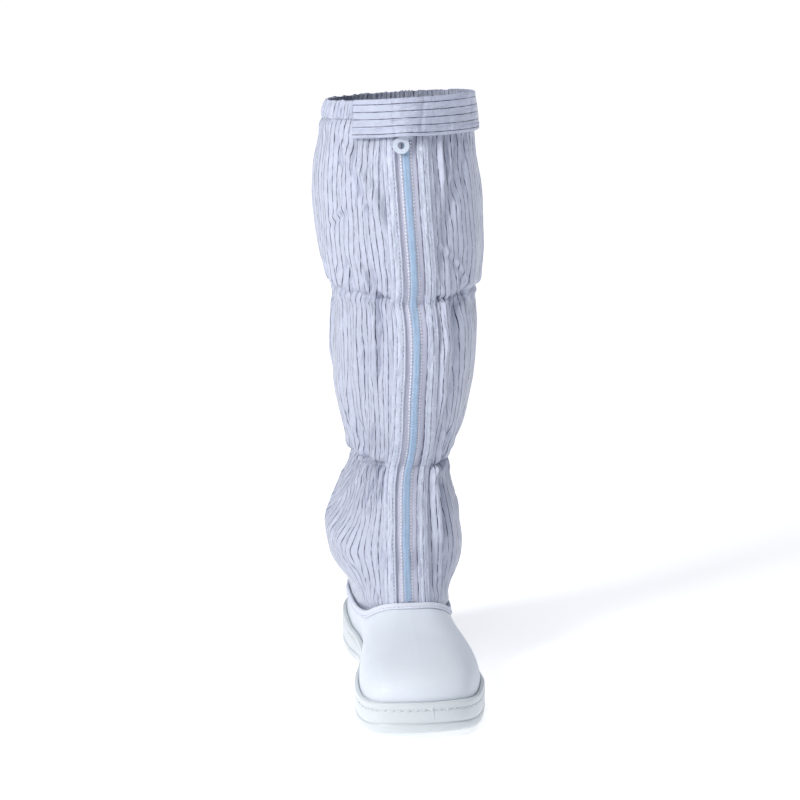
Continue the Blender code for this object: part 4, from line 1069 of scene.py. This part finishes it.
def make_sole(finish):
    """The moulded sole: its wall with a groove and a stitch line, its lip and its grooved tread."""
    count = SOLE_TURNS
    turns = ring_of(count)
    tread, lip, floor = tread_height(turns), lip_height(turns), floor_height(turns)
    groove = tread + SIDE_GROOVE_HEIGHT
    line = lip - STITCH_LINE_DROP
    profile = [(EDGE_ROUND, tread)]
    for part in np.linspace(0.0, math.pi / 2.0, 7)[1:]:
        inset = EDGE_ROUND * (1.0 - math.sin(part))
        profile.append((inset, tread + EDGE_ROUND * (1.0 - math.cos(part))))
    for middle, width, depth in (
        (groove, SIDE_GROOVE_WIDTH, SIDE_GROOVE_DEPTH),
        (line, STITCH_LINE_WIDTH, STITCH_LINE_DEPTH),
    ):
        profile += [(depth * share, middle + width / 2.0 * off) for off, share in GROOVE_SECTION]
    profile += [(LIP_THICKNESS * inset, lip - LIP_THICKNESS * drop) for inset, drop in LIP_SECTION]
    profile.append((LIP_THICKNESS, floor))
    rings = np.array([upright(*outline(turns, inset), height) for inset, height in profile])
    rows = len(rings)
    index = np.arange(rows * count).reshape(rows, count)
    faces = quads(index, np.roll(index, -1, axis=1)).tolist()
    half = count // 2
    points = [rings.reshape(-1, 3)]
    top = index[-1]
    for point in range(half):
        corners = [top[place % count] for place in (point, point + 1, count - point - 1, count - point)]
        faces.append(tuple(dict.fromkeys(int(corner) for corner in corners)))
    across = np.linspace(0.0, 1.0, 26)[1:-1]
    pairs = np.arange(1, half)
    inner = rings[0][pairs]
    outer = rings[0][count - pairs]
    bed = inner[:, None] + (outer - inner)[:, None] * across[None, :, None]
    station = HEEL_OVERHANG - bed[..., 1]
    edge_away = np.minimum(np.abs(bed[..., 0] - inner[:, :1]), np.abs(bed[..., 0] - outer[:, :1]))
    stations = [*(HEEL_OVERHANG + TREAD_PITCH * (np.arange(-1, 3) - 0.5))]
    stations += [*(BALL_STATION + TREAD_PITCH * (np.arange(-3, 5) + 0.5))]
    depth = np.zeros(bed.shape[:2])
    for place in stations:
        off = np.abs(station - place) / TREAD_GROOVE_WIDTH
        depth = np.maximum(depth, 1.0 - smooth_step(off, 0.32, 0.62))
    border = TREAD_BORDER - EDGE_ROUND
    depth = depth * smooth_step(edge_away, border - TREAD_FADE, border + TREAD_FADE)
    bed[..., 2] += TREAD_GROOVE_DEPTH * depth
    first = rows * count
    points.append(bed.reshape(-1, 3))
    bed_index = first + np.arange(bed.shape[0] * bed.shape[1]).reshape(bed.shape[:2])
    low = index[0]
    table = np.column_stack([low[pairs], bed_index, low[count - pairs]])
    faces += quads(table[:, :-1], table[:, 1:]).tolist()
    for row, tip in ((table[0], low[0]), (table[-1], low[half])):
        faces += [(int(tip), int(a), int(b)) for a, b in zip(row[:-1], row[1:])]
    piece = mesh_piece("sole_moulding", np.concatenate(points), faces, finish)
    tidy_mesh(piece, 55.0)
    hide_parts("sole")
    dense = np.linspace(0.0, FULL_TURN, 3000)
    height = lip_height(dense) - STITCH_LINE_DROP
    path = upright(*outline(dense, STITCH_LINE_DEPTH * 0.75), height)
    out = path - upright(*outline(dense, 0.002), height)
    thread("sole_dashes", [(path, out)], finish)


def make_gate_mark(finish):
    """The small moulded ridge up the middle of the toe's wall."""
    toe = math.pi * (1.0 + GATE_MARK_ASIDE)
    share = np.linspace(0.0, 1.0, 26)
    turn = toe + 0.010 * np.sin(share * 7.0) * smooth_step(share, 0.35, 0.7)
    low = float(tread_height(toe)) + SIDE_GROOVE_HEIGHT + 0.0016
    height = low + (float(lip_height(toe)) - 0.0010 - low) * share
    centre = upright(*outline(turn, 0.00012), height)
    out = unit(centre - upright(*outline(turn, 0.002), height))
    side = unit(np.cross(out, [0.0, 0.0, 1.0]))
    width = (GATE_MARK_WIDTH * (0.25 + 0.75 * np.sin(share * math.pi)))[:, None, None]
    ring = ring_of(8)[None, :, None]
    section = side[:, None] * np.cos(ring) + out[:, None] * 0.8 * np.sin(ring)
    tube = centre[:, None] + width * section
    index = np.arange(len(share) * 8).reshape(-1, 8)
    faces = quads(index, np.roll(index, -1, axis=1)).tolist()
    faces += [index[0, ::-1].tolist(), index[-1].tolist()]
    tidy_mesh(mesh_piece("gate_mark", tube.reshape(-1, 3), faces, finish))


class Look:
    """A material's node tree, with short ways to add and join its nodes."""

    def __init__(self, name, **settings):
        self.material = bpy.data.materials.new(name)
        self.material.use_nodes = True
        self.tree = self.material.node_tree
        self.shader = self.tree.nodes["Principled BSDF"]
        for socket, value in settings.items():
            self.shader.inputs[socket.replace("_", " ")].default_value = value

    def node(self, kind, **settings):
        made = self.tree.nodes.new(kind)
        for key, value in settings.items():
            setattr(made, key, value)
        return made

    def join(self, source, target):
        self.tree.links.new(source, target)

    def fill(self, socket, value):
        if isinstance(value, (int, float, tuple)):
            socket.default_value = value
        else:
            self.join(value, socket)

    def math(self, operation, first, second=0.0, third=0.0):
        made = self.node("ShaderNodeMath", operation=operation)
        for socket, value in zip(made.inputs, (first, second, third)):
            self.fill(socket, value)
        return made.outputs[0]

    def mapped(self, value, low, high, out_low=0.0, out_high=1.0):
        made = self.node("ShaderNodeMapRange", interpolation_type="SMOOTHSTEP")
        for socket, number in zip(made.inputs, (value, low, high, out_low, out_high)):
            self.fill(socket, number)
        return made.outputs[0]

    def place(self, uv):
        if uv:
            return self.node("ShaderNodeUVMap", uv_map="cloth").outputs[0]
        return self.node("ShaderNodeTexCoord").outputs["Object"]

    def split(self, vector):
        made = self.node("ShaderNodeSeparateXYZ")
        self.join(vector, made.inputs[0])
        return made.outputs

    def stretched(self, vector, scale, turned=0.0):
        made = self.node("ShaderNodeMapping")
        self.join(vector, made.inputs["Vector"])
        made.inputs["Rotation"].default_value = (0.0, 0.0, turned)
        made.inputs["Scale"].default_value = scale
        return made.outputs[0]

    def wave(self, value, count):
        """A sine wave with so many crests in each unit of the value."""
        return self.math("SINE", self.math("MULTIPLY", value, count * math.tau))

    def noise(self, vector, scale, detail=3.0, rough=0.5):
        made = self.node("ShaderNodeTexNoise")
        self.join(vector, made.inputs["Vector"])
        made.inputs["Scale"].default_value = scale
        made.inputs["Detail"].default_value = detail
        made.inputs["Roughness"].default_value = rough
        return made.outputs["Fac"]

    def mix(self, share, first, second):
        made = self.node("ShaderNodeMix", data_type="RGBA")
        colours = [socket for socket in made.inputs if socket.type == "RGBA"]
        for socket, value in zip((made.inputs["Factor"], *colours), (share, first, second)):
            self.fill(socket, value)
        return next(out for out in made.outputs if out.type == "RGBA")

    def bump(self, *layers):
        """Height layers as (value, distance in metres), one on the other."""
        below = None
        for value, distance in layers:
            made = self.node("ShaderNodeBump")
            made.inputs["Distance"].default_value = distance
            self.join(value, made.inputs["Height"])
            if below is not None:
                self.join(below, made.inputs["Normal"])
            below = made.outputs[0]
        self.join(below, self.shader.inputs["Normal"])

    def colour(self, share, first, second):
        """The surface's colour, from the first to the second as the share rises."""
        self.join(self.mix(share, first, second), self.shader.inputs["Base Color"])

    def roughness(self, value, first, second):
        """The surface's roughness, from the first to the second as the value rises."""
        self.join(self.mapped(value, 0.3, 0.7, first, second), self.shader.inputs["Roughness"])


def tone(red, green, blue):
    """A display colour of 0 to 255 as the renderer's own light values."""
    values = [channel / 255.0 for channel in (red, green, blue)]
    return (*[v / 12.92 if v <= 0.04045 else ((v + 0.055) / 1.055) ** 2.4 for v in values], 1.0)


def dimmed(base, share):
    return (*[share * value for value in base[:3]], 1.0)


def striped_cloth(
    name, base, line, half_line=0.072, pitch=0.55, offset=0.0, puckers=2.2, fading=0.25
):
    """Pale woven cloth with fine broken dark lines that run up it. Its map is in centimetres."""
    look = Look(name, Specular_IOR_Level=0.6, Sheen_Weight=0.1, Sheen_Roughness=0.4)
    place = look.place(True)
    across, up, _ = look.split(place)
    share = look.math("FRACT", look.math("ADD", look.math("DIVIDE", across, pitch), 40.5 + offset))
    off = look.math("ABSOLUTE", look.math("SUBTRACT", share, 0.5))
    dark = look.mapped(off, half_line * 0.72, half_line * 1.25, 1.0, 0.0)
    worn = look.noise(look.stretched(place, (3.0, 1.5, 1.0)), 1.0, 3.0)
    dashed = look.math("ADD", look.math("MULTIPLY", look.wave(up, 13.0), 0.06), worn)
    broken = look.mapped(dashed, 0.36, 0.58, fading, 1.0)
    soft = look.noise(place, 0.8, 3.0)
    ground = look.mix(look.mapped(soft, 0.35, 0.65), base, dimmed(base, 0.93))
    look.colour(look.math("MULTIPLY", dark, broken), ground, line)
    look.roughness(soft, 0.28, 0.38)
    weave = look.math("MULTIPLY", look.wave(across, 22.0), look.wave(up, 22.0))
    wrinkle = look.noise(look.stretched(place, (2.6, 0.7, 1.0)), 1.0, 2.5, 0.55)
    pucker = look.noise(look.stretched(place, (0.9, puckers, 1.0), 0.5), 1.0, 2.0)
    look.bump((wrinkle, 0.0030), (pucker, 0.0008), (dark, -0.00005), (weave, 0.00003))
    return look.material


def coated_white(name, base, roughness, coat, grain, pebble):
    """White coated or moulded skin with a fine pebble grain."""
    look = Look(name, Coat_Weight=coat, Coat_Roughness=0.16, Specular_IOR_Level=0.5)
    place = look.place(False)
    soft = look.noise(place, 14.0, 3.0)
    look.colour(look.mapped(soft, 0.35, 0.7), base, dimmed(base, 0.95))
    look.roughness(soft, roughness, roughness + 0.10)
    cells = look.node("ShaderNodeTexVoronoi")
    look.join(place, cells.inputs["Vector"])
    cells.inputs["Scale"].default_value = grain * 0.8
    swell, fine = look.noise(place, 45.0, 2.0), look.noise(place, grain, 2.0)
    look.bump((swell, 0.00030), (cells.outputs["Distance"], pebble), (fine, pebble * 0.5))
    return look.material


def woven_tape(name, base, ribs, uv, roughness=0.75):
    """Ribbed woven tape, with so many ribs in a unit of its map and painted shade between its ribs."""
    look = Look(name, Specular_IOR_Level=0.25, Sheen_Weight=0.1)
    place = look.place(uv)
    x, y, z = look.split(place)
    across, up = (x, y) if uv else (look.math("ADD", x, y), z)
    rib = look.wave(across, ribs)
    mottle = look.noise(place, 3.0 if uv else 300.0, 3.0)
    # The ribs' wave darkens the colour between the ribs as painted shade; the mottle is the tape's own
    # uneven tone.
    rib_shade_and_mottle = look.math("ADD", look.math("MULTIPLY", rib, 0.25), mottle)
    look.colour(look.mapped(rib_shade_and_mottle, 0.2, 0.8), dimmed(base, 0.88), base)
    look.roughness(mottle, roughness, roughness + 0.12)
    look.bump((rib, 0.00008), (look.math("MULTIPLY", rib, look.wave(up, ribs * 1.3)), 0.00005))
    return look.material


def clear_plastic(name, base, roughness, clearness):
    """Smooth plastic, milky or clear."""
    look = Look(name, Transmission_Weight=clearness, IOR=1.46, Coat_Weight=0.25, Coat_Roughness=0.12)
    place = look.place(False)
    cloudy = look.noise(place, 220.0, 3.0)
    look.colour(look.mapped(cloudy, 0.3, 0.7), base, dimmed(base, 0.9))
    look.roughness(cloudy, roughness, roughness + 0.1)
    look.bump((look.noise(place, 900.0, 2.0), 0.00004))
    return look.material


def plain_thread(name, base):
    """Twisted sewing thread."""
    look = Look(name, Specular_IOR_Level=0.3, Sheen_Weight=0.2)
    twist = look.noise(look.place(False), 2600.0, 2.0)
    look.colour(look.mapped(twist, 0.3, 0.7), dimmed(base, 0.85), base)
    look.roughness(twist, 0.55, 0.7)
    look.bump((twist, 0.00008))
    return look.material


def dress_node(name, finish, bevel=0.0):
    """A CAD node that is shown as it is, with a finish and softly rounded edges."""
    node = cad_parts[name]
    node.data.materials.clear()
    node.data.materials.append(finish)
    if bevel:
        rounding = node.modifiers.new("rounding", "BEVEL")
        rounding.width = bevel
        rounding.segments = 3
        rounding.limit_method = "ANGLE"
        rounding.angle_limit = math.radians(35.0)
        rounding.harden_normals = True


def show(name, data, place=(0.0, 0.0, 0.0), target=None):
    """Puts a floor, lamp or camera in the scene, turned to the target if there is one."""
    shown = bpy.data.objects.new(name, data)
    shown.location = place
    if target:
        shown.rotation_euler = (Vector(target) - Vector(place)).to_track_quat("-Z", "Y").to_euler()
    bpy.context.scene.collection.objects.link(shown)
    return shown


def make_stage():
    """Pale floor, soft studio light and the camera at the photo's angle."""
    floor = bpy.data.meshes.new("floor")
    signs = ((-1, -1), (1, -1), (1, 1), (-1, 1))
    floor.from_pydata([(FLOOR_REACH * x, FLOOR_REACH * y, 0.0) for x, y in signs], [], [range(4)])
    look = Look("floor_paper", Emission_Color=(1.0, 1.0, 1.0, 1.0))
    place = look.place(False)
    soft = look.noise(place, 2.0, 2.0)
    look.colour(soft, tone(250, 250, 251), tone(247, 247, 249))
    look.roughness(soft, 0.85, 0.95)
    away = look.node("ShaderNodeVectorMath", operation="LENGTH")
    look.join(place, away.inputs[0])
    glow = look.mapped(away.outputs["Value"], *FLOOR_GLOW)
    look.join(glow, look.shader.inputs["Emission Strength"])
    floor.materials.append(look.material)
    show("floor", floor)
    world = bpy.data.worlds.new("studio")
    world.use_nodes = True
    nodes = world.node_tree.nodes
    sky = nodes["Background"]
    sky.inputs["Color"].default_value = tone(228, 234, 255)
    height = nodes.new("ShaderNodeSeparateXYZ")
    fade = nodes.new("ShaderNodeMapRange")
    for socket, number in zip(fade.inputs[1:5], SKY_FADE):
        socket.default_value = number
    for source, target in (
        (nodes.new("ShaderNodeTexCoord").outputs["Generated"], height.inputs[0]),
        (height.outputs["Z"], fade.inputs[0]),
        (fade.outputs[0], sky.inputs["Strength"]),
    ):
        world.node_tree.links.new(source, target)
    bpy.context.scene.world = world
    for name, place, size, power, colour in LAMPS:
        lamp = bpy.data.lights.new(name, "AREA")
        lamp.shape = "RECTANGLE"
        lamp.size, lamp.size_y = size
        lamp.energy = power
        lamp.color = colour
        show(name, lamp, place, BOOT_MIDDLE)
    camera = bpy.data.cameras.new("photo_camera")
    camera.lens = CAMERA_LENS
    camera.sensor_width = 36.0
    bpy.context.scene.camera = show("photo_camera", camera, CAMERA_PLACE, BOOT_MIDDLE)
    bpy.context.scene.view_settings.view_transform = "Standard"


def main():
    """Builds every piece round the part, with its finish, and the stage."""
    dark_line = tone(30, 28, 62)
    cloth = striped_cloth("striped_fabric", tone(188, 194, 212), dark_line)
    strap_tone, facing_tone = tone(180, 187, 206), tone(196, 203, 220)
    strap_cloth = striped_cloth("strap_fabric", strap_tone, dark_line, 0.062, 0.53, fading=0.6)
    facing = striped_cloth("facing_fabric", facing_tone, tone(70, 66, 100), 0.06, 0.42, 0.2, 3.4)
    white = coated_white("white_upper", tone(214, 221, 228), 0.50, 0.05, 620.0, 0.00010)
    moulded = coated_white("moulded_sole", tone(206, 212, 214), 0.36, 0.15, 900.0, 0.00003)
    binding = woven_tape("binding_weave", tone(226, 231, 242), 900.0, False)
    tape = woven_tape("tape_weave", tone(214, 216, 234), 14.0, True)
    footbed = woven_tape("footbed_weave", tone(186, 190, 198), 700.0, False)
    coil = clear_plastic("coil_nylon", tone(196, 222, 246), 0.34, 0.0)
    milky = clear_plastic("milky_plastic", tone(220, 230, 243), 0.22, 0.15)
    cotton = plain_thread("pale_thread", tone(196, 198, 220))
    white_cotton = plain_thread("white_thread", tone(240, 242, 248))
    leg = Leg()
    collar_front = float(leg.rows[len(TUCKED_ROWS) - 1][RING_POINTS // 2][2])
    foot = collar_front + BINDING_THICKNESS + FACING_CLEARANCE
    make_cloth(leg, cloth)
    make_plackets(leg, facing, cotton, foot)
    make_tapes(leg, tape, white_cotton)
    make_coil(leg, coil, foot)
    make_cuff(leg, cloth, cotton)
    make_strap(leg, strap_cloth, cotton)
    make_binding(binding, cotton)
    make_upper(white)
    make_sole(moulded)
    make_gate_mark(moulded)
    dress_node("insole", footbed)
    dress_node("zip_slider", milky, 0.00022)
    dress_node("zip_pull", milky, 0.00030)
    make_stage()


main()
